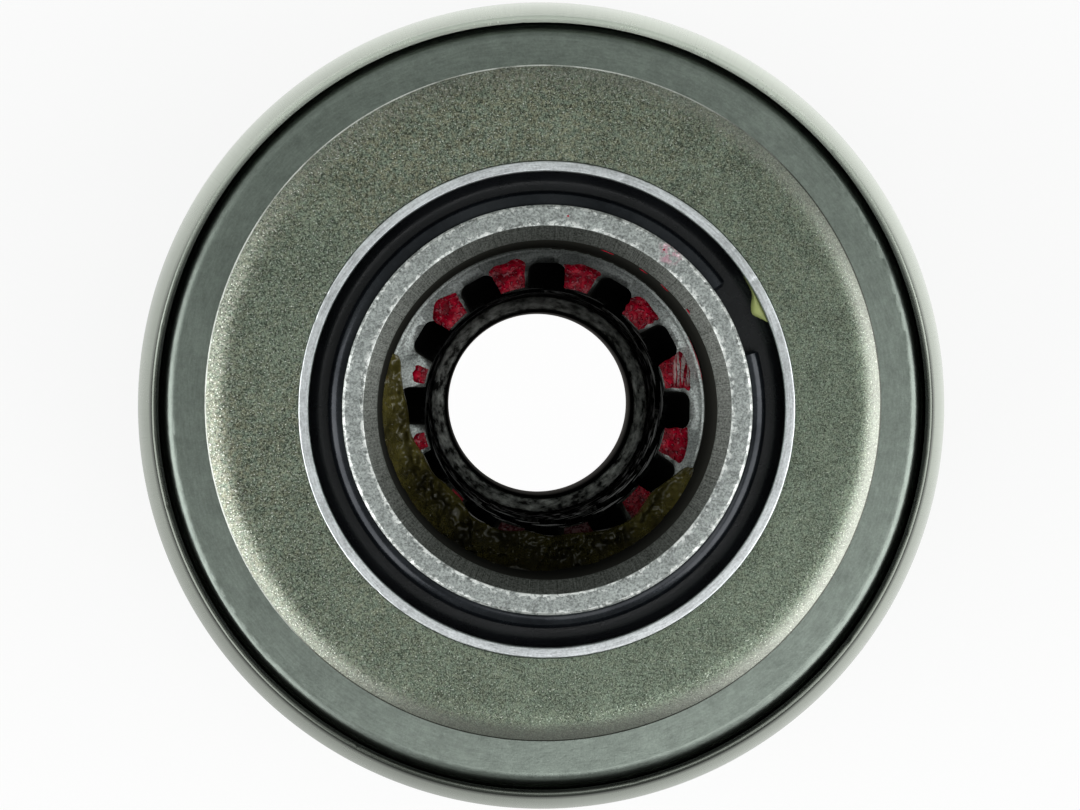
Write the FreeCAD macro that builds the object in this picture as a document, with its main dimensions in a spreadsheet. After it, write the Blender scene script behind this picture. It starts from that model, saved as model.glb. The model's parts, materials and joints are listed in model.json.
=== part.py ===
import FreeCAD, Part
import math
import os
import Sketcher

# Starter drive with an overrunning roller clutch, in millimetres.
# The axis is Z. The pinion's front face lies at Z = 0 and the splined end of the sleeve on top.

Vector = FreeCAD.Vector
Placement = FreeCAD.Placement
Rotation = FreeCAD.Rotation

SIZES = (
    # Pinion: gear, neck and inner race in one piece
    ("gear_length", 13.0, "length of the pinion's teeth"),
    ("tooth_count", 10, "number of teeth"),
    ("gear_module", 2.5, "module of the teeth"),
    ("pressure_angle", 20.0, "pressure angle in degrees"),
    ("profile_shift", 0.3, "profile shift in modules"),
    ("tip_radius", 15.4, "radius over the teeth"),
    ("tooth_depth", 5.2, "tip to root"),
    ("lead_in", 1.2, "bevel at the front of the teeth"),
    ("back_bevel", 0.5, "bevel at the back of the teeth"),
    ("race_radius", 13.0, "inner race that the rollers run on"),
    ("neck_step", 2.0, "race down to the neck between it and the teeth"),
    ("race_end_gap", 0.4, "race end to the floor of the drum"),
    ("shoulder_gap", 0.1, "race shoulder to the half rings"),
    ("bush_bore", 7.0, "radius of the shaft bore"),
    ("bush_wall", 1.17, "wall of the bush"),
    ("bush_fit", 0.03, "bush to its seat in the pinion"),
    ("bush_length", 13.7, "length of the bush"),
    ("bush_inset", 0.3, "bush below the pinion's front face"),
    ("bush_bevel", 0.3, "bevel at the bush's bore ends"),
    # Shell and the plates that it holds
    ("front_gap", 0.3, "teeth to the shell's front wall"),
    ("shell_radius", 28.8, "outer radius of the shell"),
    ("shell_wall", 1.4, "sheet thickness of the shell"),
    ("shell_corner", 2.4, "outer radius of the shell's front corner"),
    ("shell_inner_corner", 1.0, "inner radius of the shell's front corner"),
    ("swage_height", 5.65, "height of the curve that is rolled inwards"),
    ("lip_reach", 1.89, "shell's outside in to the edge of the rolled lip"),
    ("lip_bevel", 0.3, "bevel of the lip's edge"),
    ("lip_rise", 0.25, "lip above the drum's rear face"),
    ("shell_fit", 0.1, "drum and cover plate to the shell"),
    ("half_ring_thickness", 1.5, "thickness of the split ring"),
    ("half_ring_inset", 1.8, "split ring to the shell"),
    ("half_ring_gap", 0.15, "split ring to the neck"),
    ("half_ring_split", 1.2, "angle left open at each split, in degrees"),
    ("plate_thickness", 1.2, "thickness of the cover plate"),
    ("plate_gap", 0.2, "cover plate to the race"),
    ("seal_room", 2.5, "neck to the hole in the shell's front wall"),
    ("seal_gap", 0.1, "seal to the neck"),
    ("seal_fit", 0.03, "seal to the shell's hole"),
    ("seal_bevel", 0.35, "bevel of the seal's inner edge"),
    # Drum: outer race with its cam pockets
    ("roller_count", 5, "number of rollers"),
    ("roller_radius", 3.5, "radius of a roller"),
    ("roller_length", 9.5, "length of a roller"),
    ("roller_bevel", 0.35, "bevel at a roller's ends"),
    ("roller_end_gap", 0.25, "roller ends to the drum and the plate"),
    ("race_gap", 0.05, "roller to the inner race"),
    ("cam_gap", 0.05, "roller to the cam"),
    ("cam_angle", 5.5, "slope of the cam in degrees"),
    ("lock_room", 0.7, "roller to the locking end of its pocket"),
    ("free_room", 1.7, "roller to the plunger's end of its pocket"),
    ("land_gap", 0.15, "drum lands to the inner race"),
    ("drum_web", 5.6, "floor of the drum behind the rollers"),
    ("shoulder_drop", 3.6, "drum's rear face to the start of its bevel"),
    ("shoulder_step", 1.4, "drum's rear face to the step under the lip"),
    ("shoulder_inset", 0.06, "bevel of the drum in from the lip's edge"),
    ("boss_gap", 0.3, "rolled lip to the edge of the drum's rear face"),
    ("boss_round", 0.9, "rounding of the rear face's edge"),
    ("root_round", 1.2, "rounding between the rear face and the tube"),
    # Plungers and their springs
    ("plunger_radius", 2.4, "outer radius of a plunger"),
    ("plunger_length", 5.0, "length of a plunger"),
    ("plunger_wall", 0.5, "wall of a plunger"),
    ("plunger_head", 1.2, "thickness of a plunger's closed end"),
    ("plunger_bevel", 0.2, "bevel of a plunger's outer edges"),
    ("plunger_rise", 0.5, "plunger axis further out than the roller's"),
    ("plunger_fit", 0.05, "plunger to its bore and to the roller"),
    ("plunger_hole_depth", 7.0, "depth of a plunger's bore from the pocket"),
    ("small_wire", 0.25, "wire radius of a roller spring"),
    ("small_side_gap", 0.2, "roller spring to the plunger's wall"),
    ("small_pitch", 1.0, "pitch of a roller spring"),
    ("small_seat_gap", 0.05, "roller spring to its seats"),
    # Splined tube
    ("tube_length", 25.0, "drum's rear face to the sleeve's end"),
    ("tube_radius", 13.0, "outer radius of the tube"),
    ("tube_edge", 0.15, "bevel at the tube's end"),
    ("end_face_width", 1.3, "width of the tube's end face"),
    ("mouth_bevel", 0.9, "height of the bevel into the counterbore"),
    ("mouth_step", 0.9, "end face in to the counterbore"),
    ("counterbore_depth", 14.0, "depth of the counterbore"),
    ("counterbore_round", 0.3, "rounding at the counterbore's floor"),
    ("spline_count", 12, "number of spline slots"),
    ("spline_ledge", 1.05, "counterbore in to the bottom of the slots"),
    ("spline_depth", 1.65, "depth of the slots"),
    ("slot_width", 2.6, "width of a spline slot"),
    ("slot_round", 0.7, "rounding in a slot's corners"),
    ("spline_lead", 150.0, "advance of the spline in one turn"),
    ("spline_start", 15.0, "angle of a land from +X at the counterbore, in degrees"),
    # Snap ring and its cup
    ("ring_depth", 3.6, "sleeve's end to the middle of the snap ring"),
    ("wire_radius", 0.85, "wire radius of the snap ring"),
    ("ring_gap_angle", 19.0, "opening of the snap ring in degrees"),
    ("ring_gap_start", 16.0, "start of that opening from +X in degrees"),
    ("groove_depth", 0.65, "depth of the snap ring's groove"),
    ("groove_side_gap", 0.05, "snap ring to its groove and to the cup"),
    ("cup_wall", 0.66, "sheet thickness of the cup"),
    ("cup_reach", 2.92, "tube to the outside of the cup"),
    ("cup_rise", 0.05, "cup's rim behind the snap ring"),
    ("cup_round", 0.75, "inner rounding of the cup's floor"),
    ("cup_outer_round", 0.5, "outer rounding of the cup's floor"),
    ("cup_fit", 0.03, "cup to its seat in the collar"),
    ("sleeve_gap", 0.1, "collar and cup to the tube"),
    # Shift collar
    ("cup_proud", 0.2, "cup's rim behind the collar's rear face"),
    ("rear_flange", 2.6, "thickness of the rear flange"),
    ("rear_height", 3.74, "fork groove's bottom to the rear flange's edge"),
    ("rear_shift_across", -0.22, "rear flange off the axis along X"),
    ("rear_shift_up", 0.4, "rear flange off the axis along Y"),
    ("rear_round", 1.5, "rounding of the rear flange's edge"),
    ("fork_groove", 5.2, "width of the fork groove"),
    ("hub_wall", 2.05, "cup's seat to the bottom of the fork groove"),
    ("front_flange", 1.8, "thickness of the front flange"),
    ("front_height", 2.5, "fork groove's bottom to the front flange's edge"),
    ("front_edge", 0.4, "bevel of the front flange"),
    # Meshing spring and its washer
    ("washer_thickness", 1.4, "thickness of the spring washer"),
    ("washer_width", 6.2, "width of the spring washer"),
    ("washer_gap", 0.1, "spring washer to the collar"),
    ("washer_bore_gap", 0.3, "spring washer to the tube"),
    ("spring_wire", 1.0, "wire radius of the meshing spring"),
    ("spring_side_gap", 2.2, "meshing spring to the tube"),
    ("spring_pitch", 3.2, "pitch of the meshing spring"),
    ("spring_seat_gap", 0.1, "meshing spring to its seats"),
)

# Heights above the pinion's front face, from the front to the back
SHELL_FRONT = "Sizes.gear_length + Sizes.front_gap"
RING_FRONT = SHELL_FRONT + " + Sizes.shell_wall"
PLATE_FRONT = RING_FRONT + " + Sizes.half_ring_thickness"
DRUM_FRONT = PLATE_FRONT + " + Sizes.plate_thickness"
POCKET_DEPTH = "Sizes.roller_length + 2 * Sizes.roller_end_gap"
DRUM_FLOOR = DRUM_FRONT + " + " + POCKET_DEPTH
DRUM_BACK = DRUM_FLOOR + " + Sizes.drum_web"
SLEEVE_END = DRUM_BACK + " + Sizes.tube_length"
SPLINE_TOP = SLEEVE_END + " - Sizes.counterbore_depth"
ROLLER_MIDDLE = DRUM_FRONT + " + Sizes.roller_end_gap + Sizes.roller_length / 2"
RING_HEIGHT = SLEEVE_END + " - Sizes.ring_depth"
GROOVE_HALF = "(Sizes.wire_radius + Sizes.groove_side_gap)"
CUP_FLOOR = RING_HEIGHT + " - " + GROOVE_HALF
CUP_BOTTOM = CUP_FLOOR + " - Sizes.cup_wall"
CUP_RIM = RING_HEIGHT + " + Sizes.wire_radius + Sizes.cup_rise"
COLLAR_BACK = CUP_RIM + " - Sizes.cup_proud"
FORK_BACK = COLLAR_BACK + " - Sizes.rear_flange"
FORK_FRONT = FORK_BACK + " - Sizes.fork_groove"
COLLAR_FRONT = FORK_FRONT + " - Sizes.front_flange"
WASHER_BACK = COLLAR_FRONT + " - Sizes.washer_gap"
WASHER_FRONT = WASHER_BACK + " - Sizes.washer_thickness"

# Radii that follow from a fit
SHELL_INSIDE = "Sizes.shell_radius - Sizes.shell_wall"
DRUM_RADIUS = SHELL_INSIDE + " - Sizes.shell_fit"
LIP_RADIUS = "Sizes.shell_radius - Sizes.lip_reach"
BOSS_RADIUS = LIP_RADIUS + " - Sizes.boss_gap"
PINION_BORE = "Sizes.bush_bore + Sizes.bush_wall + Sizes.bush_fit"
NECK_RADIUS = "Sizes.race_radius - Sizes.neck_step"
SHELL_HOLE = NECK_RADIUS + " + Sizes.seal_room"
ROLLER_ORBIT = "Sizes.race_radius + Sizes.race_gap + Sizes.roller_radius"
POCKET_LOCK_SIDE = "(Sizes.roller_radius + Sizes.lock_room)"
POCKET_FREE_SIDE = "(Sizes.roller_radius + Sizes.free_room)"
PLUNGER_ORBIT = ROLLER_ORBIT + " + Sizes.plunger_rise"
PLUNGER_FACE = "Sizes.roller_radius + Sizes.plunger_fit"
PLUNGER_BORE = "Sizes.plunger_radius - Sizes.plunger_wall"
PLUNGER_HOLE_END = POCKET_FREE_SIDE + " + Sizes.plunger_hole_depth"
MOUTH_RADIUS = "Sizes.tube_radius - Sizes.end_face_width"
COUNTERBORE_RADIUS = MOUTH_RADIUS + " - Sizes.mouth_step"
SPLINE_MAJOR = COUNTERBORE_RADIUS + " - Sizes.spline_ledge"
SPLINE_MINOR = SPLINE_MAJOR + " - Sizes.spline_depth"
COLLAR_BORE = "Sizes.tube_radius + Sizes.sleeve_gap"
CUP_RADIUS = "Sizes.tube_radius + Sizes.cup_reach"
HUB_RADIUS = CUP_RADIUS + " + Sizes.cup_fit + Sizes.hub_wall"
FRONT_RADIUS = HUB_RADIUS + " + Sizes.front_height"
REAR_RADIUS = HUB_RADIUS + " + Sizes.rear_height"
WASHER_BORE = "Sizes.tube_radius + Sizes.washer_bore_gap"

document = FreeCAD.newDocument("starter_drive")
sheet = document.addObject("Spreadsheet::Sheet", "Sizes")
for row, (alias, amount, meaning) in enumerate(SIZES, start=1):
    sheet.set("A%d" % row, alias)
    sheet.set("B%d" % row, str(amount))
    sheet.set("C%d" % row, meaning)
    sheet.setAlias("B%d" % row, alias)
document.recompute()


def value(expression):
    """Number that an expression on the sheet gives."""
    return float(sheet.evalExpression(expression))


def new_body(label):
    """Empty body that carries the piece's name."""
    body = document.addObject("PartDesign::Body", label)
    body.Label = label
    return body


def new_sketch(body, name, role, lift="0"):
    """Sketch on one of the body's origin planes, lifted along the plane's normal."""
    plane = [item for item in body.Origin.OriginFeatures if item.Role == role][0]
    sketch = body.newObject("Sketcher::SketchObject", name)
    sketch.AttachmentSupport = [(plane, "")]
    sketch.MapMode = "FlatFace"
    sketch.setExpression("AttachmentOffset.Base.z", lift)
    return sketch


def bind(sketch, kind, geometry, point, expression):
    """Distance of a point from the sketch's origin, bound to the sheet."""
    rule = Sketcher.Constraint(kind, -1, 1, geometry, point, value(expression))
    number = sketch.addConstraint(rule)
    sketch.setExpression("Constraints[%d]" % number, expression)


def bind_radius(sketch, geometry, expression):
    """Radius of a circle or an arc, bound to the sheet."""
    number = sketch.addConstraint(Sketcher.Constraint("Radius", geometry, value(expression)))
    sketch.setExpression("Constraints[%d]" % number, expression)


def draw_outline(sketch, corners, arcs=None):
    """Closed outline through corners given as pairs of expressions.

    A side whose number is in arcs is an arc of that radius, with its centre on the left.
    """
    arcs = arcs or {}
    points = [Vector(value(across), value(up), 0) for across, up in corners]
    count = len(points)
    for side, start in enumerate(points):
        finish = points[(side + 1) % count]
        if side not in arcs:
            sketch.addGeometry(Part.LineSegment(start, finish), False)
            continue
        radius = value(arcs[side])
        chord = finish - start
        left = Vector(-chord.y, chord.x, 0).normalize()
        centre = (start + finish) / 2 + left * math.sqrt(radius**2 - (chord.Length / 2)**2)
        first = math.atan2(start.y - centre.y, start.x - centre.x)
        last = math.atan2(finish.y - centre.y, finish.x - centre.x)
        circle = Part.Circle(centre, Vector(0, 0, 1), radius)
        sketch.addGeometry(Part.ArcOfCircle(circle, first, last), False)
    for side in range(count):
        sketch.addConstraint(Sketcher.Constraint("Coincident", side, 2, (side + 1) % count, 1))
    for side, (across, up) in enumerate(corners):
        bind(sketch, "DistanceX", side, 1, across)
        bind(sketch, "DistanceY", side, 1, up)
    for side, radius in arcs.items():
        bind_radius(sketch, side, radius)


def draw_circle(sketch, across, up, radius):
    """Circle about a point, both given as expressions."""
    centre = Vector(value(across), value(up), 0)
    circle = Part.Circle(centre, Vector(0, 0, 1), value(radius))
    geometry = sketch.addGeometry(circle, False)
    bind(sketch, "DistanceX", geometry, 3, across)
    bind(sketch, "DistanceY", geometry, 3, up)
    bind_radius(sketch, geometry, radius)


def revolve(body, sketch, angle="360"):
    """Turn a sketch about the body's own Z axis."""
    feature = body.newObject("PartDesign::Revolution", body.Name + "_turned")
    feature.Profile = sketch
    feature.ReferenceAxis = (sketch, ["V_Axis"])
    feature.setExpression("Angle", angle)
    document.recompute()
    return feature


def turned(label, corners, arcs=None, angle="360"):
    """Body turned from an outline of radii and heights."""
    body = new_body(label)
    sketch = new_sketch(body, label + "_section", "XZ_Plane")
    draw_outline(sketch, corners, arcs)
    revolve(body, sketch, angle)
    return body


def turned_ring(label, inner, outer, low, high, angle="360"):
    """Body turned from a plain rectangle."""
    return turned(label, [(inner, low), (outer, low), (outer, high), (inner, high)], angle=angle)


def pocket(body, name, sketch, depth):
    """Cut a sketch into the body along the sketch's normal."""
    before = body.Shape.Volume
    feature = body.newObject("PartDesign::Pocket", name)
    feature.Profile = sketch
    feature.Reversed = True
    feature.setExpression("Length", depth)
    document.recompute()
    if body.Shape.Volume >= before:
        raise RuntimeError(name + " cuts nothing")
    return feature


def dress_edges(body, kind, name, rings, amount):
    """Fillet or chamfer the round edges that lie at the given radii and heights."""
    base = body.Tip
    wanted = [(value(radius), value(height)) for radius, height in rings]
    edges = []
    for number, edge in enumerate(base.Shape.Edges, start=1):
        if not isinstance(edge.Curve, Part.Circle):
            continue
        place = (edge.Curve.Radius, edge.Curve.Center.z)
        if any(math.dist(place, ring) < 1e-4 for ring in wanted):
            edges.append("Edge%d" % number)
    feature = body.newObject("PartDesign::" + kind, name)
    feature.Base = (base, edges)
    feature.setExpression("Radius" if kind == "Fillet" else "Size", amount)
    document.recompute()
    return feature


def fixed_shape(label, shape):
    """Object for a shape that neither a body nor a primitive can give."""
    feature = document.addObject("Part::Feature", label)
    feature.Label = label
    feature.Shape = shape
    return feature


def cut(label, base, tool):
    """Base without tool, as the piece of that name."""
    result = document.addObject("Part::Cut", label)
    result.Label = label
    result.Base = base
    result.Tool = tool
    document.recompute()
    return result


def repeat_about_axis(shape, count):
    """Copies of a shape, evenly spaced about the Z axis."""
    copies = []
    for number in range(count):
        copy = shape.copy()
        copy.rotate(Vector(0, 0, 0), Vector(0, 0, 1), 360.0 * number / count)
        copies.append(copy)
    return Part.makeCompound(copies)


def involute_space():
    """Space between two teeth, centred on +Y, from the root to just outside the tips."""
    teeth = value("Sizes.tooth_count")
    module = value("Sizes.gear_module")
    pressure = math.radians(value("Sizes.pressure_angle"))
    shift = value("Sizes.profile_shift")
    tip = value("Sizes.tip_radius")
    root = tip - value("Sizes.tooth_depth")
    pitch = module * teeth / 2
    base = pitch * math.cos(pressure)
    tooth_half = (math.pi / 2 + 2 * shift * math.tan(pressure)) / teeth
    at_base = math.pi / teeth - tooth_half - (math.tan(pressure) - pressure)
    outside = tip + module / 2
    flank = []
    steps = 8
    for step in range(steps + 1):
        radius = base + (outside - base) * step / steps
        roll = math.acos(base / radius)
        half = at_base + math.tan(roll) - roll
        flank.append(Vector(radius * math.sin(half), radius * math.cos(half), 0))
    foot = Vector(root * math.sin(at_base), root * math.cos(at_base), 0)

    def mirrored(point):
        return Vector(-point.x, point.y, point.z)

    right = Part.BSplineCurve()
    right.interpolate(flank)
    left = Part.BSplineCurve()
    left.interpolate([mirrored(point) for point in flank])
    edges = [
        Part.Arc(mirrored(foot), Vector(0, root, 0), foot).toShape(),
        Part.makeLine(foot, flank[0]),
        right.toShape(),
        Part.Arc(flank[-1], Vector(0, outside, 0), mirrored(flank[-1])).toShape(),
        left.toShape(),
        Part.makeLine(mirrored(flank[0]), mirrored(foot)),
    ]
    face = Part.Face(Part.Wire(Part.__sortEdges__(edges)))
    return face.extrude(Vector(0, 0, value("Sizes.gear_length")))


def spline_slot():
    """One helical slot, centred on +X at the counterbore's floor."""
    low = value(DRUM_FLOOR) - value("Sizes.roller_end_gap")
    high = value(SPLINE_TOP) + value("Sizes.counterbore_round")
    half = value("Sizes.slot_width") / 2
    inner = value(SPLINE_MINOR) - half
    outer = value(SPLINE_MAJOR)
    corner = value("Sizes.slot_round")
    lead = value("Sizes.spline_lead")
    lean = corner * (1 - math.sqrt(0.5))
    side = outer - corner
    edges = [
        Part.makeLine(Vector(inner, -half, high), Vector(side, -half, high)),
        Part.Arc(Vector(side, -half, high), Vector(outer - lean, lean - half, high),
                 Vector(outer, corner - half, high)).toShape(),
        Part.makeLine(Vector(outer, corner - half, high), Vector(outer, half - corner, high)),
        Part.Arc(Vector(outer, half - corner, high), Vector(outer - lean, half - lean, high),
                 Vector(side, half, high)).toShape(),
        Part.makeLine(Vector(side, half, high), Vector(inner, half, high)),
        Part.makeLine(Vector(inner, half, high), Vector(inner, -half, high)),
    ]
    profile = Part.Wire(edges)
    profile.translate(Vector(0, 0, low - high))
    spine = Part.Wire([Part.makeLine(Vector(0, 0, low), Vector(0, 0, high))])
    guide = Part.makeHelix(lead, high - low, outer)
    guide.translate(Vector(0, 0, low))
    sweep = Part.BRepOffsetAPI.MakePipeShell(spine)
    sweep.setAuxiliarySpine(guide, True, False)
    sweep.add(profile)
    sweep.build()
    sweep.makeSolid()
    slot = sweep.shape()
    slot.rotate(Vector(0, 0, 0), Vector(0, 0, 1), -360.0 * (high - low) / lead)
    return slot


def make_sleeve():
    """Drum and splined tube in one piece."""
    groove_low = RING_HEIGHT + " - " + GROOVE_HALF
    groove_high = RING_HEIGHT + " + " + GROOVE_HALF
    groove_radius = "Sizes.tube_radius - Sizes.groove_depth"
    land = "Sizes.race_radius + Sizes.land_gap"
    body = turned("sleeve_blank", [
        (land, DRUM_FRONT),
        (DRUM_RADIUS, DRUM_FRONT),
        (DRUM_RADIUS, DRUM_BACK + " - Sizes.shoulder_drop"),
        (LIP_RADIUS + " - Sizes.shoulder_inset", DRUM_BACK + " - Sizes.shoulder_step"),
        (BOSS_RADIUS, DRUM_BACK + " - Sizes.shoulder_step"),
        (BOSS_RADIUS, DRUM_BACK),
        ("Sizes.tube_radius", DRUM_BACK),
        ("Sizes.tube_radius", groove_low),
        (groove_radius, groove_low),
        (groove_radius, groove_high),
        ("Sizes.tube_radius", groove_high),
        ("Sizes.tube_radius", SLEEVE_END + " - Sizes.tube_edge"),
        ("Sizes.tube_radius - Sizes.tube_edge", SLEEVE_END),
        (MOUTH_RADIUS, SLEEVE_END),
        (COUNTERBORE_RADIUS, SLEEVE_END + " - Sizes.mouth_bevel"),
        (COUNTERBORE_RADIUS, SPLINE_TOP),
        (SPLINE_MINOR, SPLINE_TOP),
        (SPLINE_MINOR, DRUM_FLOOR),
        (land, DRUM_FLOOR),
    ])
    dress_edges(body, "Fillet", "boss_rounding", [(BOSS_RADIUS, DRUM_BACK)], "Sizes.boss_round")
    dress_edges(body, "Fillet", "tube_root", [("Sizes.tube_radius", DRUM_BACK)],
                "Sizes.root_round")
    dress_edges(body, "Fillet", "counterbore_rounding", [(COUNTERBORE_RADIUS, SPLINE_TOP)],
                "Sizes.counterbore_round")

    cam_middle = ROLLER_ORBIT + " + (Sizes.roller_radius + Sizes.cam_gap) / cos(Sizes.cam_angle)"
    cam_free = cam_middle + " + " + POCKET_FREE_SIDE + " * tan(Sizes.cam_angle)"
    cam_lock = cam_middle + " - " + POCKET_LOCK_SIDE + " * tan(Sizes.cam_angle)"
    inside = "Sizes.race_radius - Sizes.roller_radius"
    cam_sketch = new_sketch(body, "cam_outline", "XY_Plane", DRUM_FRONT)
    draw_outline(cam_sketch, [
        ("-" + POCKET_LOCK_SIDE, inside),
        (POCKET_FREE_SIDE, inside),
        (POCKET_FREE_SIDE, cam_free),
        ("-" + POCKET_LOCK_SIDE, cam_lock),
    ])
    cam = pocket(body, "cam_pocket", cam_sketch, POCKET_DEPTH)
    hole_start = POCKET_FREE_SIDE + " - Sizes.plunger_head"
    hole_sketch = new_sketch(body, "plunger_hole_outline", "YZ_Plane", hole_start)
    draw_circle(hole_sketch, PLUNGER_ORBIT, ROLLER_MIDDLE,
                "Sizes.plunger_radius + Sizes.plunger_fit")
    hole = pocket(body, "plunger_hole", hole_sketch,
                  "Sizes.plunger_hole_depth + Sizes.plunger_head")
    before = body.Shape.Volume
    pattern = body.newObject("PartDesign::PolarPattern", "cam_pattern")
    pattern.Originals = [cam, hole]
    pattern.Axis = (cam_sketch, ["N_Axis"])
    pattern.Angle = 360
    pattern.setExpression("Occurrences", "Sizes.roller_count")
    body.Tip = pattern
    document.recompute()
    if body.Shape.Volume >= before:
        raise RuntimeError("the cam pattern cuts nothing")

    count = int(value("Sizes.spline_count"))
    slots = repeat_about_axis(spline_slot(), count)
    middle_of_slot = value("Sizes.spline_start") + 180.0 / count
    slots.rotate(Vector(0, 0, 0), Vector(0, 0, 1), middle_of_slot)
    return cut("drive_sleeve", body, fixed_shape("spline_slots", slots))


def make_shell():
    """Sheet shell, open at the back, where its edge is rolled in over the drum."""
    lip_high = DRUM_BACK + " + Sizes.lip_rise"
    lip_outer = LIP_RADIUS + " + Sizes.lip_bevel"
    curve_low = lip_high + " - Sizes.swage_height"
    reach = "(Sizes.lip_reach - Sizes.lip_bevel)"
    radius = "(" + reach + "^2 + Sizes.swage_height^2) / (2 * " + reach + ")"
    body = turned("clutch_shell", [
        (SHELL_HOLE, SHELL_FRONT),
        ("Sizes.shell_radius", SHELL_FRONT),
        ("Sizes.shell_radius", curve_low),
        (lip_outer, lip_high),
        (LIP_RADIUS, lip_high + " - Sizes.lip_bevel"),
        (SHELL_INSIDE, DRUM_BACK + " - Sizes.shoulder_drop"),
        (SHELL_INSIDE, RING_FRONT),
        (SHELL_HOLE, RING_FRONT),
    ], arcs={2: radius})
    dress_edges(body, "Fillet", "shell_front_rounding", [("Sizes.shell_radius", SHELL_FRONT)],
                "Sizes.shell_corner")
    dress_edges(body, "Fillet", "shell_inner_rounding", [(SHELL_INSIDE, RING_FRONT)],
                "Sizes.shell_inner_corner")
    return body


def make_pinion():
    """Gear, neck and inner race in one piece."""
    race_low = PLATE_FRONT + " + Sizes.shoulder_gap"
    race_high = DRUM_FLOOR + " - Sizes.race_end_gap"
    body = turned("pinion_blank", [
        (PINION_BORE, "0"),
        ("Sizes.tip_radius - Sizes.lead_in", "0"),
        ("Sizes.tip_radius", "Sizes.lead_in"),
        ("Sizes.tip_radius", "Sizes.gear_length - Sizes.back_bevel"),
        ("Sizes.tip_radius - Sizes.back_bevel", "Sizes.gear_length"),
        (NECK_RADIUS, "Sizes.gear_length"),
        (NECK_RADIUS, race_low),
        ("Sizes.race_radius", race_low),
        ("Sizes.race_radius", race_high),
        (PINION_BORE, race_high),
    ])
    dress_edges(body, "Chamfer", "race_bevels",
                [("Sizes.race_radius", race_low), ("Sizes.race_radius", race_high)],
                "Sizes.back_bevel")
    spaces = repeat_about_axis(involute_space(), int(value("Sizes.tooth_count")))
    return cut("pinion", body, fixed_shape("tooth_spaces", spaces))


def make_bush():
    """Bearing bush that runs on the shaft."""
    outer = "Sizes.bush_bore + Sizes.bush_wall"
    high = "Sizes.bush_inset + Sizes.bush_length"
    body = turned_ring("pinion_bush", "Sizes.bush_bore", outer, "Sizes.bush_inset", high)
    dress_edges(body, "Chamfer", "bush_bevels",
                [("Sizes.bush_bore", "Sizes.bush_inset"), ("Sizes.bush_bore", high)],
                "Sizes.bush_bevel")
    return body


def make_plates():
    """Cover plate, the two halves of the split ring and the dust seal."""
    pieces = [turned_ring("cover_plate", "Sizes.race_radius + Sizes.plate_gap", DRUM_RADIUS,
                          PLATE_FRONT, DRUM_FRONT)]
    for number in (1, 2):
        half = turned_ring("half_ring_%d" % number, NECK_RADIUS + " + Sizes.half_ring_gap",
                           SHELL_INSIDE + " - Sizes.half_ring_inset", RING_FRONT, PLATE_FRONT,
                           angle="180 - Sizes.half_ring_split")
        half.setExpression("Placement.Rotation.Angle", "%d * 180" % number)
        pieces.append(half)
    inner = NECK_RADIUS + " + Sizes.seal_gap"
    outer = SHELL_HOLE + " - Sizes.seal_fit"
    pieces.append(turned("dust_seal", [
        (inner + " + Sizes.seal_bevel", SHELL_FRONT),
        (outer, SHELL_FRONT),
        (outer, RING_FRONT),
        (inner, RING_FRONT),
        (inner, SHELL_FRONT + " + Sizes.seal_bevel"),
    ]))
    return pieces


def about_axis(number, place):
    """Place moved to the roller pocket of that number."""
    turn = Rotation(Vector(0, 0, 1), -360.0 * number / value("Sizes.roller_count"))
    return Placement(Vector(0, 0, 0), turn) * place


def make_roller(number):
    """Locking roller in its pocket."""
    half = "Sizes.roller_length / 2"
    body = turned("roller_%d" % (number + 1), [
        ("0", "-" + half),
        ("Sizes.roller_radius - Sizes.roller_bevel", "-" + half),
        ("Sizes.roller_radius", "Sizes.roller_bevel - " + half),
        ("Sizes.roller_radius", half + " - Sizes.roller_bevel"),
        ("Sizes.roller_radius - Sizes.roller_bevel", half),
        ("0", half),
    ])
    middle = Vector(0, value(ROLLER_ORBIT), value(ROLLER_MIDDLE))
    body.Placement = about_axis(number, Placement(middle, Rotation()))
    return body


def make_plunger(number):
    """Cup that pushes a roller towards the narrow end of its pocket."""
    edge = "Sizes.plunger_bevel"
    body = turned("plunger_%d" % (number + 1), [
        ("0", "0"),
        ("Sizes.plunger_radius - " + edge, "0"),
        ("Sizes.plunger_radius", edge),
        ("Sizes.plunger_radius", "Sizes.plunger_length"),
        (PLUNGER_BORE, "Sizes.plunger_length"),
        (PLUNGER_BORE, "Sizes.plunger_head"),
        ("0", "Sizes.plunger_head"),
    ])
    face = Vector(value(PLUNGER_FACE), value(PLUNGER_ORBIT), value(ROLLER_MIDDLE))
    body.Placement = about_axis(number, Placement(face, Rotation(Vector(0, 1, 0), 90)))
    return body


def coil_spring(label, wire, coil, pitch, length):
    """Round-wire spring along the body's own Z axis, from 0 to its length."""
    body = new_body(label)
    sketch = new_sketch(body, label + "_wire", "XZ_Plane")
    draw_circle(sketch, coil, wire, wire)
    feature = body.newObject("PartDesign::AdditiveHelix", label + "_coil")
    feature.Profile = sketch
    feature.ReferenceAxis = (sketch, ["V_Axis"])
    feature.Mode = "height-turns-angle"
    travel = "(" + length + " - 2 * " + wire + ")"
    feature.setExpression("Height", travel)
    feature.setExpression("Turns", travel + " / " + pitch)
    document.recompute()
    return body


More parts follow.
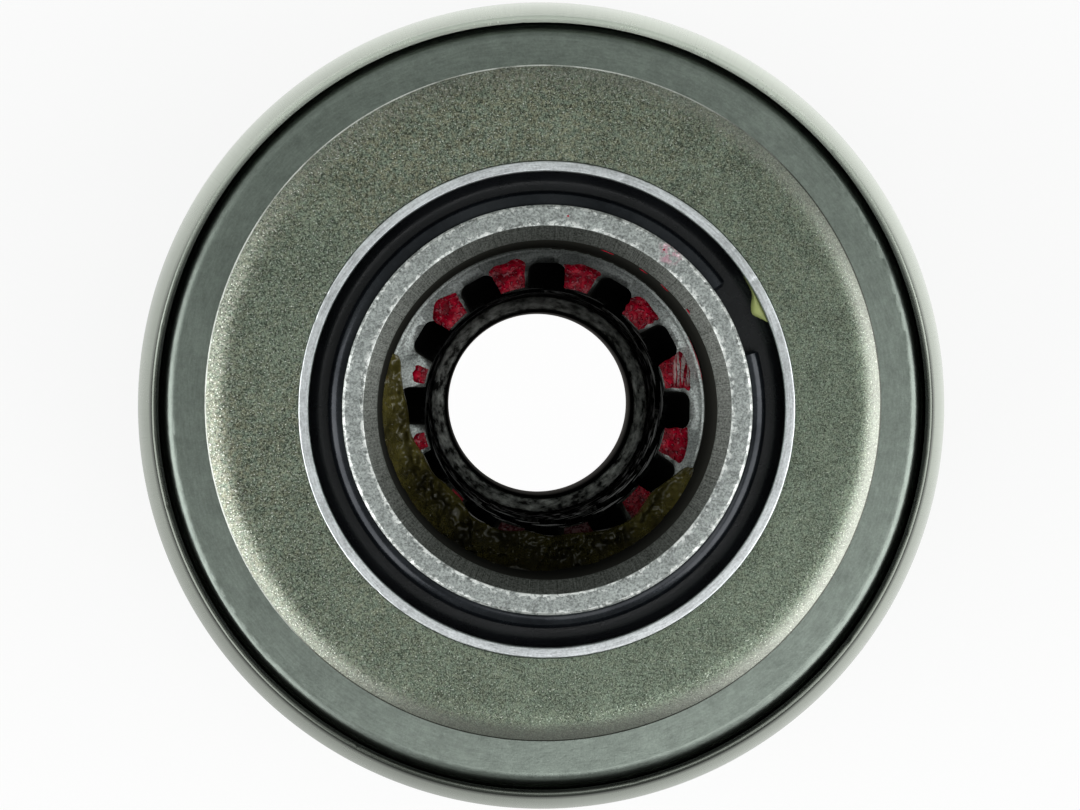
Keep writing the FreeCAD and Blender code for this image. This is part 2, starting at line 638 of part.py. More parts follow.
def make_roller_spring(number):
    """Spring between a plunger's closed end and the end of its bore."""
    start = PLUNGER_FACE + " + Sizes.plunger_head + Sizes.small_seat_gap"
    length = "(" + PLUNGER_HOLE_END + " - Sizes.small_seat_gap - (" + start + "))"
    coil = PLUNGER_BORE + " - Sizes.small_side_gap - Sizes.small_wire"
    body = coil_spring("roller_spring_%d" % (number + 1), "Sizes.small_wire", coil,
                       "Sizes.small_pitch", length)
    seat = Vector(value(start), value(PLUNGER_ORBIT), value(ROLLER_MIDDLE))
    body.Placement = about_axis(number, Placement(seat, Rotation(Vector(0, 1, 0), 90)))
    return body


def make_meshing_spring():
    """Spring between the drum and the spring washer."""
    low = DRUM_BACK + " + Sizes.spring_seat_gap"
    length = "(" + WASHER_FRONT + " - Sizes.spring_seat_gap - (" + low + "))"
    coil = "Sizes.tube_radius + Sizes.spring_side_gap + Sizes.spring_wire"
    body = coil_spring("meshing_spring", "Sizes.spring_wire", coil, "Sizes.spring_pitch", length)
    body.setExpression("Placement.Base.z", low)
    return body


def make_washer():
    """Washer that the meshing spring pushes against the collar."""
    return turned_ring("spring_washer", WASHER_BORE, WASHER_BORE + " + Sizes.washer_width",
                       WASHER_FRONT, WASHER_BACK)


def make_collar():
    """Shift collar: hub, front flange and a rear flange that is slightly off the axis."""
    body = turned("shift_collar", [
        (COLLAR_BORE, COLLAR_FRONT),
        (FRONT_RADIUS, COLLAR_FRONT),
        (FRONT_RADIUS, FORK_FRONT),
        (HUB_RADIUS, FORK_FRONT),
        (HUB_RADIUS, FORK_BACK),
        (COLLAR_BORE, FORK_BACK),
    ])
    sketch = new_sketch(body, "rear_flange_outline", "XY_Plane", FORK_BACK)
    draw_circle(sketch, "Sizes.rear_shift_across", "Sizes.rear_shift_up", REAR_RADIUS)
    draw_circle(sketch, "0", "0", COLLAR_BORE)
    flange = body.newObject("PartDesign::Pad", "rear_flange_pad")
    flange.Profile = sketch
    flange.setExpression("Length", "Sizes.rear_flange")
    document.recompute()
    seat = new_sketch(body, "cup_seat_outline", "XY_Plane", CUP_BOTTOM)
    draw_circle(seat, "0", "0", CUP_RADIUS + " + Sizes.cup_fit")
    pocket(body, "cup_seat", seat, COLLAR_BACK + " - (" + CUP_BOTTOM + ")")
    dress_edges(body, "Fillet", "rear_rounding", [(REAR_RADIUS, COLLAR_BACK)], "Sizes.rear_round")
    dress_edges(body, "Chamfer", "flange_bevels",
                [(FRONT_RADIUS, COLLAR_FRONT), (FRONT_RADIUS, FORK_FRONT), (REAR_RADIUS, FORK_BACK)],
                "Sizes.front_edge")
    return body


def make_cup():
    """Thin cup that keeps the snap ring from opening."""
    inner = CUP_RADIUS + " - Sizes.cup_wall"
    body = turned("retainer_cup", [
        (COLLAR_BORE, CUP_BOTTOM),
        (CUP_RADIUS, CUP_BOTTOM),
        (CUP_RADIUS, CUP_RIM),
        (inner, CUP_RIM),
        (inner, CUP_FLOOR),
        (COLLAR_BORE, CUP_FLOOR),
    ])
    dress_edges(body, "Fillet", "cup_inner_rounding", [(inner, CUP_FLOOR)], "Sizes.cup_round")
    dress_edges(body, "Fillet", "cup_outer_rounding", [(CUP_RADIUS, CUP_BOTTOM)],
                "Sizes.cup_outer_round")
    return body


def make_snap_ring():
    """Open wire ring that lies in the sleeve's groove."""
    body = new_body("snap_ring")
    sketch = new_sketch(body, "snap_ring_section", "XZ_Plane")
    middle = "Sizes.tube_radius - Sizes.groove_depth + Sizes.groove_side_gap + Sizes.wire_radius"
    draw_circle(sketch, middle, RING_HEIGHT, "Sizes.wire_radius")
    revolve(body, sketch, "360 - Sizes.ring_gap_angle")
    body.setExpression("Placement.Rotation.Angle", "Sizes.ring_gap_start + Sizes.ring_gap_angle")
    return body


def check(piece):
    """Stop where a piece or anything that it is made from has failed."""
    shape = piece.Shape
    if shape.isNull() or not shape.isValid() or not shape.Solids:
        raise RuntimeError(piece.Label + " has no sound shape")


pieces = [make_sleeve(), make_shell(), make_pinion(), make_bush()]
pieces += make_plates()
for index in range(int(value("Sizes.roller_count"))):
    pieces += [make_roller(index), make_plunger(index), make_roller_spring(index)]
pieces += [make_meshing_spring(), make_washer(), make_collar(), make_cup(), make_snap_ring()]
document.recompute()

for item in document.Objects:
    if "Invalid" in item.State or "Error" in item.State:
        raise RuntimeError(item.Label + " failed")
os.makedirs("parts", exist_ok=True)
for piece in pieces:
    check(piece)
for piece in pieces:
    piece.Shape.exportStep(os.path.join("parts", piece.Label + ".step"))
    box = piece.Shape.BoundBox
    print("%-18s solids %d  volume %9.2f  z %6.2f to %6.2f  reach %6.2f" % (
        piece.Label, len(piece.Shape.Solids), piece.Shape.Volume, box.ZMin, box.ZMax,
        max(box.XMax, -box.XMin, box.YMax, -box.YMin)))
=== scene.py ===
import math
import json

import bmesh
import bpy
import numpy as np
from mathutils import Matrix, Vector


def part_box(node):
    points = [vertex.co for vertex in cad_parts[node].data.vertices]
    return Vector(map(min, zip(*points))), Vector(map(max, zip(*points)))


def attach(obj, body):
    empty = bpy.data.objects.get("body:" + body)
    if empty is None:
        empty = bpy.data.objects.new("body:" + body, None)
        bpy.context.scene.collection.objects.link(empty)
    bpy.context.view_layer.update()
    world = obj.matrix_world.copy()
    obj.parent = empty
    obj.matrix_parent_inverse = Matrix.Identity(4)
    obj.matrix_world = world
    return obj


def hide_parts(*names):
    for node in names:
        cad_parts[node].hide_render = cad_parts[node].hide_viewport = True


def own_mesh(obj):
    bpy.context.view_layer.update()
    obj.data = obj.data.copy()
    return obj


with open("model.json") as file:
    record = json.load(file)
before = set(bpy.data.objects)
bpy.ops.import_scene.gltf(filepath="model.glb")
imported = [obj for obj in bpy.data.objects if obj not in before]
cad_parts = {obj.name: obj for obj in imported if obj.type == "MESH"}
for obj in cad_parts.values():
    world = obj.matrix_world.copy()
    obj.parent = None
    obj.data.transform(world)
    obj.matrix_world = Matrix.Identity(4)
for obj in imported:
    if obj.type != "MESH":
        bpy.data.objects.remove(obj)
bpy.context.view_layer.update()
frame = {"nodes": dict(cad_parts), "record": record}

bl_info = {
    "name": "Starter drive finish",
    "version": (1, 0, 0),
    "blender": (4, 5, 0),
    "location": "View3D > Sidebar > Starter drive",
    "description": "Dresses the starter drive's pieces and sets up its studio",
    "category": "Object",
}

MM = 0.001
TURN = 2 * math.pi
SLEEVE_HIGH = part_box("drive_sleeve")[1]
SHELL_LOW, SHELL_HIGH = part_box("clutch_shell")
COLLAR_LOW, COLLAR_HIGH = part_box("shift_collar")
CUP_LOW, CUP_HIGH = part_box("retainer_cup")
WIRE_LOW, WIRE_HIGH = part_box("snap_ring")
WASHER_LOW, WASHER_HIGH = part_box("spring_washer")
BUSH_LOW, BUSH_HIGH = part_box("pinion_bush")
COIL_LOW, COIL_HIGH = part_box("meshing_spring")
SLOT_COUNT = 12
# Where paint was rubbed off one land, and where it left a pink stain on the sleeve's end
SCRAPED_X, SCRAPED_Y = (8.7 * MM, 9.9 * MM), (1.6 * MM, 3.7 * MM)
STAINED_X, STAINED_Y = (7.2 * MM, 8.4 * MM), (9.3 * MM, 10.6 * MM)
# Headings in degrees of the snap ring's two ends, the old grease and the fresh smear
SNAP_RING_ENDS = (35.0, 376.0)
OLD_GREASE_ENDS = (160, 338)
SMEAR_ENDS = (21.5, 34.5)
# Name, place in metres, width and height of each softbox
SOFTBOXES = (("left_light", (-0.41, -0.13, 0.24), 0.58, 0.48),
             ("right_light", (0.41, -0.12, 0.24), 0.58, 0.48),
             ("low_light", (0.09, -0.17, 0.48), 0.22, 0.22))
LIGHT_AIM = (0, 0, 0.03)
# Height and half width of the floor, and how much of it glows where the camera or a gloss sees it
FLOOR_LEVEL, FLOOR_REACH, FLOOR_GLOW = -0.02 * MM, 1.5, 0.985


def numbered(start):
    """Nodes whose name is the given start and a number, in order."""
    return [name for name in sorted(frame["nodes"])
            if name.startswith(start) and name[len(start):].isdigit()]


def tone(red, green, blue):
    """Linear colour of a screen colour given in steps of 255."""
    shares = np.array([red, green, blue]) / 255
    linear = np.where(shares <= 0.04045, shares / 12.92, ((shares + 0.055) / 1.055) ** 2.4)
    return tuple(float(part) for part in linear)


def body_of(node):
    """Name of the body that a node rides on."""
    groups = frame["record"]["behaviour"]["bodies"]
    return [body for body, members in groups.items() if node in members][0]


def slot_of(node):
    """Material slot that the record gives a node."""
    return [item["material_slot"] for item in frame["record"]["subparts"] if item["node"] == node][0]


def travel_of(name):
    """Length of a sliding joint's travel in metres."""
    joints = frame["record"]["behaviour"]["joints"]
    return [joint["range_m"][1] for joint in joints if joint["name"] == name][0]


# Settings


def length(name, description, default):
    """Length property in metres."""
    return bpy.props.FloatProperty(name=name, description=description, default=default,
                                   min=0.0, unit="LENGTH", precision=5)


def colour(name, description, default):
    """Colour property in linear light."""
    return bpy.props.FloatVectorProperty(name=name, description=description, default=default,
                                         size=3, min=0.0, max=1.0, subtype="COLOR")


class DriveSizes(bpy.types.PropertyGroup):
    """Sizes that the frame doesn't give."""

    tube_radius: length("Tube", "Outer radius of the sleeve's tube", 13.0 * MM)
    tube_edge: length("Tube edge", "Bevel at the tube's end", 0.15 * MM)
    mouth_radius: length("Mouth", "Inner radius of the sleeve's end face", 11.7 * MM)
    mouth_bevel: length("Mouth bevel", "Height of the bevel into the counterbore", 0.9 * MM)
    counterbore: length("Counterbore", "Radius of the counterbore", 10.8 * MM)
    counterbore_round: length("Floor rounding", "Rounding at the counterbore's floor", 0.3 * MM)
    floor_height: length("Counterbore floor", "Height of the counterbore's floor", 44.0 * MM)
    groove_depth: length("Groove", "Depth of the snap ring's groove", 0.65 * MM)
    groove_width: length("Groove width", "Width of the snap ring's groove", 1.8 * MM)
    slot_major: length("Slot bottoms", "Radius to the bottom of the spline slots", 9.75 * MM)
    slot_minor: length("Lands", "Radius over the spline lands", 8.1 * MM)
    slot_width: length("Slot width", "Width of a spline slot", 2.6 * MM)
    boss_edge: length("Boss edge", "Radius from which the lip shades the drum's rear face",
                      25.9 * MM)
    shell_wall: length("Shell wall", "Sheet thickness of the clutch shell", 1.4 * MM)
    shell_corner: length("Shell corner", "Rounding of the shell's front corner", 2.4 * MM)
    shell_hole: length("Shell hole", "Radius of the hole in the shell's front", 13.5 * MM)
    swage_height: length("Rolled edge", "Height of the edge that is rolled inwards", 5.65 * MM)
    lip_radius: length("Lip radius", "Inner edge of the rolled lip", 26.91 * MM)
    cup_wall: length("Cup wall", "Sheet thickness of the retainer cup", 0.66 * MM)
    collar_bore: length("Collar bore", "Radius of the collar's bore", 13.1 * MM)
    hub_radius: length("Collar hub", "Radius at the bottom of the fork groove", 18.0 * MM)
    front_radius: length("Front flange", "Radius of the collar's front flange", 20.5 * MM)
    rear_radius: length("Rear flange", "Radius of the collar's rear flange", 21.74 * MM)
    rear_fall: length("Rear flange fall", "Width of the rear flange's sloping edge", 1.8 * MM)
    rear_drop: length("Rear flange drop", "Height of the rear flange's sloping edge", 0.60 * MM)
    rear_thickness: length("Rear flange thickness", "Thickness of the rear flange", 2.6 * MM)
    front_thickness: length("Front flange thickness", "Thickness of the front flange", 1.8 * MM)
    spring_wire: length("Spring wire", "Radius of the meshing spring's wire", 1.0 * MM)
    washer_bore: length("Washer bore", "Radius of the spring washer's bore", 13.3 * MM)
    bush_bore: length("Bush bore", "Radius of the bush's bore", 7.0 * MM)
    # Inside race_bore the pinion's bore gets a dull black coat: painted shade with oil.
    race_bore: length("Race bore", "Radius up to which the pinion's bore is black with oil", 9.4 * MM)


class DriveColours(bpy.types.PropertyGroup):
    """Colours of the finishes."""

    shell: colour("Shell", "Smooth drawn sheet", tone(224, 232, 219))
    drum: colour("Drum", "Machined steel of the drum's rear face", tone(152, 162, 154))
    sleeve: colour("Sleeve", "Granular bright steel of the sleeve's end", tone(157, 162, 160))
    collar: colour("Collar", "Granular sintered steel", tone(118, 127, 115))
    cup: colour("Cup", "Bright turned steel", tone(244, 248, 251))
    wire: colour("Wire", "Dark drawn wire", tone(34, 38, 44))
    spring: colour("Spring", "Dark wire of the meshing spring", (0.16, 0.165, 0.18))
    roller: colour("Rollers", "Ground steel of the rollers", (0.62, 0.63, 0.64))
    plunger: colour("Plungers", "Turned steel of the plungers", (0.45, 0.45, 0.46))
    small_spring: colour("Small springs", "Wire of the rollers' springs", (0.30, 0.31, 0.33))
    plate: colour("Plates", "Flat steel of the plate and the half rings", (0.40, 0.41, 0.41))
    gear: colour("Gear", "Hardened gear steel", tone(150, 153, 152))
    bronze: colour("Bronze", "Oiled sintered bronze", tone(150, 138, 122))
    rubber: colour("Rubber", "Black seal rubber", tone(28, 28, 30))
    paint: colour("Marking paint", "Red marking on the spline lands", tone(214, 10, 52))
    grease: colour("Grease", "Old grease in the counterbore", tone(98, 92, 46))
    fresh_grease: colour("Fresh grease", "Pale grease behind the cup's rim", tone(186, 194, 122))


class StudioSettings(bpy.types.PropertyGroup):
    """Camera and light."""

    camera_place: bpy.props.FloatVectorProperty(
        name="Camera place", description="Where the camera stands", size=3,
        default=(-3.35 * MM, 2.34 * MM, 290 * MM), subtype="TRANSLATION")
    camera_aim: bpy.props.FloatVectorProperty(
        name="Camera aim", description="Point in the middle of the picture", size=3,
        default=(-0.48 * MM, 0.32 * MM, 58 * MM), subtype="TRANSLATION")
    lens: bpy.props.FloatProperty(name="Lens", description="Focal length in millimetres on a "
                                  "36 mm sensor", default=122.2, min=1.0)
    side_light: bpy.props.FloatProperty(name="Side lights", description="Power of each side "
                                        "softbox in watts", default=2.1, min=0.0)
    low_light: bpy.props.FloatProperty(name="Low light", description="Power of the softbox "
                                       "below the picture in watts", default=0.25, min=0.0)


# Shader maths


class Term:
    """One socket of a material; arithmetic on it adds Math nodes."""

    def __init__(self, shader, socket):
        self.shader = shader
        self.socket = socket

    def math(self, operation, *others):
        values = dict(enumerate((self,) + others))
        return self.shader.node("ShaderNodeMath", {"operation": operation}, values)

    def __add__(self, other):
        return self.math("ADD", other)

    def __radd__(self, other):
        return self.math("ADD", other)

    def __sub__(self, other):
        return self.math("SUBTRACT", other)

    def __rsub__(self, other):
        return (self * -1.0).math("ADD", other)

    def __mul__(self, other):
        return self.math("MULTIPLY", other)

    def __rmul__(self, other):
        return self.math("MULTIPLY", other)

    def __truediv__(self, other):
        return self.math("DIVIDE", other)

    def __pow__(self, other):
        return self.math("POWER", other)

    def above(self, edge, soft):
        """0 below the edge, 1 above it, with a soft step between."""
        return ((self - edge) / soft + 0.5).held()

    def held(self, low=0.0, high=1.0):
        """The value, held between two limits."""
        return self.math("MINIMUM", high).math("MAXIMUM", low)

    def between(self, low, high, soft):
        """1 between two edges and 0 outside them."""
        return self.above(low, soft) * (1.0 - self.above(high, soft))


class Shader:
    """Node tree of a material or of the world."""

    def __init__(self, owner):
        owner.use_nodes = True
        self.owner = owner
        self.nodes = owner.node_tree.nodes
        self.links = owner.node_tree.links
        self.nodes.clear()

    def node(self, kind, settings=None, values=None, output=0):
        """Add any node: settings are its attributes, and values fill or link its sockets."""
        made = self.nodes.new(kind)
        for key, setting in (settings or {}).items():
            setattr(made, key, setting)
        for key, amount in (values or {}).items():
            if isinstance(amount, Term):
                self.links.new(amount.socket, made.inputs[key])
            else:
                made.inputs[key].default_value = amount
        return Term(self, made.outputs[output]) if len(made.outputs) else None

    def mix(self, share, first, second):
        """Colour between two colours."""
        values = {0: share, 6: rgba(first), 7: rgba(second)}
        return self.node("ShaderNodeMix", {"data_type": "RGBA"}, values, 2)

    def shades(self, share, base, low, high):
        """Colour between the base times low and the base times high."""
        return self.mix(share, scaled(base, low), scaled(base, high))

    def place(self):
        """Point on the object in metres."""
        return self.node("ShaderNodeTexCoord", output=3)

    def parts(self, vector):
        """X, Y and Z of a vector."""
        split = self.node("ShaderNodeSeparateXYZ", values={0: vector})
        outputs = split.socket.node.outputs
        return [Term(self, outputs[number]) for number in range(3)]

    def vector(self, across, along, up):
        """Vector from three values."""
        return self.node("ShaderNodeCombineXYZ", values={0: across, 1: along, 2: up})

    def noise(self, where, scale, detail=2.0, roughness=0.5):
        """Value of a noise pattern; scale is in features per metre."""
        return self.node("ShaderNodeTexNoise", {"noise_dimensions": "3D"},
                         {"Vector": where, "Scale": scale, "Detail": detail,
                          "Roughness": roughness})

    def stretched(self, across, along, up, detail=2.0, roughness=0.5):
        """Value of a noise pattern over three values, each already times its own scale."""
        return self.noise(self.vector(across, along, up), 1.0, detail, roughness)

    def bump(self, height, distance, strength):
        """Normal of a surface that is raised by height times distance."""
        return self.node("ShaderNodeBump", values={"Height": height, "Distance": distance,
                                                   "Strength": strength})

    def finish(self, tint, metal, roughness, normal, more=None, oil_and_shade=None):
        """Principled surface of a material, which it returns.

        More holds other sockets by name. The last argument gives the share and the colour of a dull
        dark coat on it: oil, and painted shade where it lines a bore.
        """
        values = {"Base Color": tint, "Metallic": metal, "Roughness": roughness, "Normal": normal}
        made = self.node("ShaderNodeBsdfPrincipled", values={**values, **(more or {})})
        if oil_and_shade is not None:
            share, shade_black = oil_and_shade
            dull = {"Base Color": rgba(shade_black), "Roughness": 0.9, "Specular IOR Level": 0.0}
            second = self.node("ShaderNodeBsdfPrincipled", values=dull)
            made = self.node("ShaderNodeMixShader", values={0: share, 1: made, 2: second})
        self.node("ShaderNodeOutputMaterial", values={"Surface": made})
        return self.owner


def rgba(shade):
    """Colour with an alpha of 1, or the link that was given."""
    return shade if isinstance(shade, Term) else tuple(shade)[:3] + (1.0,)


def scaled(shade, amount):
    """Colour made darker or lighter, up to white."""
    return tuple(min(1.0, part * amount) for part in tuple(shade)[:3])


def new_shader(name):
    """Shader of a new material, and the point on the object in metres."""
    shader = Shader(bpy.data.materials.new(name))
    return shader, shader.place()


def polar(shader, where):
    """Direction from the axis as the X and Y of a unit vector, then radius and height in metres."""
    across, along, up = shader.parts(where)
    radius = (across * across + along * along) ** 0.5
    return across / radius, along / radius, radius, up


# Finishes


def turned_steel(name, base, rough, marks=0.3, grain=0.5):
    """Machined steel: fine turning rings, grain and faint stains."""
    shader, where = new_shader(name)
    radius, up = polar(shader, where)[2:]
    rings = shader.stretched(radius * 9000.0, up * 9000.0, 0.0)
    stains = shader.noise(where, 160.0, 4.0, 0.6)
    speck = shader.noise(where, 5200.0, 2.0, 0.6)
    share = stains.above(0.5, 0.35) * 0.5 + speck * grain
    tint = shader.shades(share.math("MINIMUM", 1.0), base, 0.72, 1.12)
    normal = shader.bump(rings * marks + speck * grain, 0.02 * MM, 0.5)
    return shader.finish(tint, 1.0, rough + (stains - 0.5) * 0.25, normal)


def sleeve_steel(name, settings, sizes):
    """Steel of the drum and sleeve: granular bright end face, dull black coat in the bore.

    The coat in the bore is oil and painted shade, darkest below the counterbore's floor. Painted
    highlights run along the end face's edges, and painted shade darkens the bevel into the bore
    and the drum's rear face beyond the lip. The counterbore's floor is granular too, and darker
    at the picture's top, where shade is painted on it, and at its bottom.
    """
    shader, where = new_shader(name)
    east, north = shader.parts(where)[:2]
    across, along, radius, up = polar(shader, where)
    stains = shader.noise(where, 140.0, 4.0, 0.6)
    fine = shader.noise(where, 1500.0, 3.0, 0.65)
    grain = shader.noise(where, 7200.0, 2.0, 0.7)
    rings = shader.stretched(radius * 5200.0, up * 2400.0, 0.0)
    rays = shader.stretched(across * 300.0, along * 300.0, up * 120.0, 3.0, 0.6)
    mouth = SLEEVE_HIGH.z - sizes.mouth_bevel
    inside = 1.0 - radius.above(sizes.mouth_radius - 0.03 * MM, 0.05 * MM)
    bore = inside * (1.0 - up.above(mouth, 0.06 * MM))
    bevel = inside * up.above(mouth, 0.06 * MM)
    on_floor = up.between(sizes.floor_height - 0.2 * MM, sizes.floor_height + 0.1 * MM, 0.05 * MM)
    on_floor = on_floor * radius.above(sizes.slot_minor + 0.02 * MM, 0.03 * MM)
    tube = up.above(SLEEVE_HIGH.z - 0.25 * MM, 0.1 * MM) * (1.0 - inside)

    level = (grain - 0.5) * 3.0 + (fine - 0.5) * 0.7 + 0.5
    bright = shader.shades(level, settings.sleeve, 0.62, 1.52)
    # Painted highlights: bright lines along the end face's inner and outer edges, where the rounded
    # edges catch the light.
    inner_edge_highlight = radius.between(sizes.mouth_radius - 0.04 * MM,
                                sizes.mouth_radius - 0.12 * MM + fine * 0.44 * MM, 0.03 * MM)
    outer_edge_highlight = radius.above(sizes.tube_radius - sizes.tube_edge - 0.03 * MM, 0.03 * MM)
    bright = shader.mix((inner_edge_highlight + outer_edge_highlight) * (0.12 + fine.above(0.52, 0.08) * 0.7), bright,
                        (0.86, 0.88, 0.86))
    chips = shader.noise(where, 2700.0, 2.0, 0.6)
    near_edge = (radius - (sizes.mouth_radius + sizes.tube_radius) / 2).math("ABSOLUTE")
    near_edge = near_edge.above(0.34 * MM, 0.2 * MM)
    bright = shader.mix(chips.above(0.585, 0.05) * near_edge * 0.75, bright, (0.84, 0.86, 0.84))
    bright = shader.mix((1.0 - chips.above(0.37, 0.05)) * (0.2 + near_edge * 0.4), bright,
                        (0.10, 0.105, 0.10))
    pink = east.between(*STAINED_X, 0.4 * MM) * north.between(*STAINED_Y, 0.4 * MM)
    bright = shader.mix(pink * fine.above(0.52, 0.08) * 0.55, bright, (0.66, 0.30, 0.40))
    # Painted shade: the drum's rear face turns darker beyond boss_edge, in the shadow of the shell's
    # lip.
    lip_shade = radius.above(sizes.boss_edge, 0.3 * MM) * 0.30
    blots = shader.noise(where, 520.0, 4.0, 0.7)
    cuts = shader.stretched(across * 26.0, along * 26.0, radius * 6500.0, 3.0, 0.7)
    share = (fine - 0.5) * 0.9 + (grain - 0.5) * 1.0 + (cuts - 0.5) * 1.3 + (blots - 0.5) * 1.1 + 0.45
    plain = shader.shades(share, settings.drum, 0.74, 1.16)
    tint = shader.mix(tube, shader.mix(lip_shade, plain, (0.03, 0.03, 0.03)), bright)
    # The bevel into the counterbore is painted dark as shade, with real radial streaks and grain in
    # it.
    shaded_streaks = shader.mix((rays - 0.5) * 1.6 + (grain - 0.5) * 1.8 + 0.45, (0.035, 0.038, 0.033),
                         (0.21, 0.22, 0.205))
    tint = shader.mix(bevel, tint, shaded_streaks)
    floor = shader.shades(level * 0.8 + stains * 0.2, settings.sleeve, 0.70, 2.3)
    # Painted shade makes the counterbore's floor darker towards the picture's top; the next line makes
    # it darker at its bottom too.
    floor = shader.mix(along.above(0.72, 0.5) * 0.86, floor, scaled(settings.sleeve, 0.10))
    floor = shader.mix((1.0 - along.above(-0.45, 0.6)) * 0.93, floor, (0.02, 0.02, 0.014))
    tint = shader.mix(on_floor, tint, floor)

    # Painted shade with oil: the bore gets a dull dark coat, darkest below the counterbore's floor,
    # and glints leave thin lines of bare metal in it.
    deep = 1.0 - up.above(sizes.floor_height - 0.4 * MM, 0.4 * MM)
    shade_black = shader.mix(rings, (0.012, 0.012, 0.0105), (0.036, 0.036, 0.031))
    shade_black = shader.mix(deep, shade_black, (0.005, 0.005, 0.005))
    lines = shader.stretched(across * 0.5, along * 0.5, up * 620.0, 2.0, 0.6)
    land = 1.0 - radius.above(sizes.slot_minor + 0.25 * MM, 0.1 * MM)
    glint = lines.above(0.54, 0.04) * deep * land * (0.55 - along * 0.3 + across * 0.2)
    roughness = 0.45 + (stains - 0.5) * 0.2 + grain * 0.12 - deep * 0.15
    coarse = (tube + on_floor).math("MINIMUM", 1.0)
    relief = grain * (0.45 + coarse * 1.3) + fine * (0.25 + coarse * 0.5) + rays * bevel * 0.8
    normal = shader.bump(relief, 0.03 * MM, 0.6)
    shaded_oil = bore * (1.0 - on_floor) * (1.0 - glint)
    return shader.finish(tint, 1.0, roughness, normal, oil_and_shade=(shaded_oil, shade_black))


def pinion_steel(name, base, bore):
    """Gear steel, bright on the teeth; its bore carries a dull black coat of oil and painted shade,
    mottled grey as painted reflection, with glints where it thins.
    """
    shader, where = new_shader(name)
    across, along, radius, up = polar(shader, where)
    stains = shader.noise(where, 220.0, 4.0, 0.6)
    speck = shader.noise(where, 4800.0, 2.0, 0.6)
    mottle = shader.stretched(across * 9.0, along * 9.0, up * 700.0, 3.0, 0.6)
    inside = (1.0 - radius.above(bore, 0.05 * MM)) * up.above(BUSH_HIGH.z - 0.2 * MM, 0.1 * MM)
    share = stains.above(0.5, 0.4) * 0.6 + speck * 0.4
    tint = shader.shades(share, base, 0.66, 1.1)
    # Painted shade with oil in the bore, mottled grey as painted reflection.
    shade_black = shader.mix(mottle.above(0.52, 0.12), (0.010, 0.010, 0.009), (0.20, 0.20, 0.19))
    glint = mottle.above(0.60, 0.06) * (0.5 - along * 0.3)
    normal = shader.bump(speck * 0.5 + mottle * inside, 0.04 * MM, 0.6)
    return shader.finish(tint, 1.0, 0.38 + (stains - 0.5) * 0.3, normal,
                         oil_and_shade=(inside * (1.0 - glint), shade_black))


def sintered_steel(name, base, middle, edge, foot):
    """Granular collar steel: salt and pepper grain, coarser and browner on the upper left.

    Edge is the rear flange's radius round the middle, and foot is the height where its slope ends.
    The flange's outer corner is painted dark as shade, with a painted highlight on its upper left.
    """
    shader, where = new_shader(name)
    fine = shader.noise(where, 12500.0, 2.0, 0.7)
    grain = shader.noise(where, 7000.0, 2.0, 0.75)
    cloud = shader.noise(where, 420.0, 4.0, 0.6)
    stains = shader.noise(where, 90.0, 3.0, 0.55)
    hue = shader.noise(where, 2600.0, 2.0, 0.6)
    fleck = shader.noise(where, 9000.0, 1.0, 0.5).above(0.66, 0.06)
    across, along, up = shader.parts(where)
    off_x, off_y = across - middle.x, along - middle.y
    reach = (off_x * off_x + off_y * off_y) ** 0.5
    worn = ((along * 0.8 - across) / (34 * MM) + 0.5).held()
    rubbed = reach.above(edge - 0.85 * MM, 0.8 * MM) * (1.0 - worn * 0.75)
    streak = shader.stretched(off_x / reach * 150.0, off_y / reach * 150.0, reach * 3200.0, 3.0, 0.65)
    streak = streak.above(0.54, 0.12) * worn * 0.45
    streak = streak * reach.between(edge - 1.5 * MM, edge - 0.1 * MM, 1.2 * MM)
    # Painted shade and highlight on the flange's outer corner: dark on the whole, bright and less
    # metallic towards the upper left.
    corner = reach.above(edge - 0.06 * MM - cloud * 0.05 * MM, 0.04 * MM)
    corner = corner * up.above(foot - 0.04 * MM, 0.04 * MM)
    corner_highlight = corner * ((off_y - off_x) / reach * 1.2 + 0.1).held()

    coarse = shader.noise(where, 5200.0, 4.0, 0.85)
    share = (grain - 0.5) * (1.5 + worn * 0.9) + (fine - 0.5) * 2.1 + (cloud - 0.5) * 0.5 + 0.42
    share = share + (coarse - 0.5) * worn * 1.3
    warm, cool = np.multiply(base, (1.12, 0.99, 0.86)), np.multiply(base, (0.97, 1.02, 0.97))
    brown = hue.above(0.50, 0.3) * (0.3 + worn * stains.above(0.42, 0.3) * 0.75)
    light = shader.mix(brown, scaled(cool, 1.95), scaled(warm, 1.9))
    dark = shader.mix(brown, scaled(cool, 0.30), scaled(warm, 0.27))
    tint = shader.mix(share, dark, light)
    tint = shader.mix(streak, tint, (0.50, 0.48, 0.42))
    tint = shader.mix(fleck * (0.35 + worn * 0.5), tint, (0.74, 0.77, 0.70))
    tint = shader.mix(rubbed * 0.5, tint, (0.42, 0.415, 0.385))
    tint = shader.mix(corner * (1.0 - corner_highlight) * 0.85, tint, (0.03, 0.03, 0.027))
    corner_highlight = corner_highlight * cloud.above(0.40, 0.3)
    tint = shader.mix(corner_highlight * 0.8, tint, (0.74, 0.76, 0.72))
    roughness = 0.38 - fleck * 0.14 + (stains - 0.5) * 0.12 - rubbed * 0.04
    normal = shader.bump(fine * 0.5 + grain * (0.5 + worn * 0.6) + coarse * worn, 0.03 * MM, 0.6)
    return shader.finish(tint, 1.0 - corner_highlight * 0.6, roughness, normal)


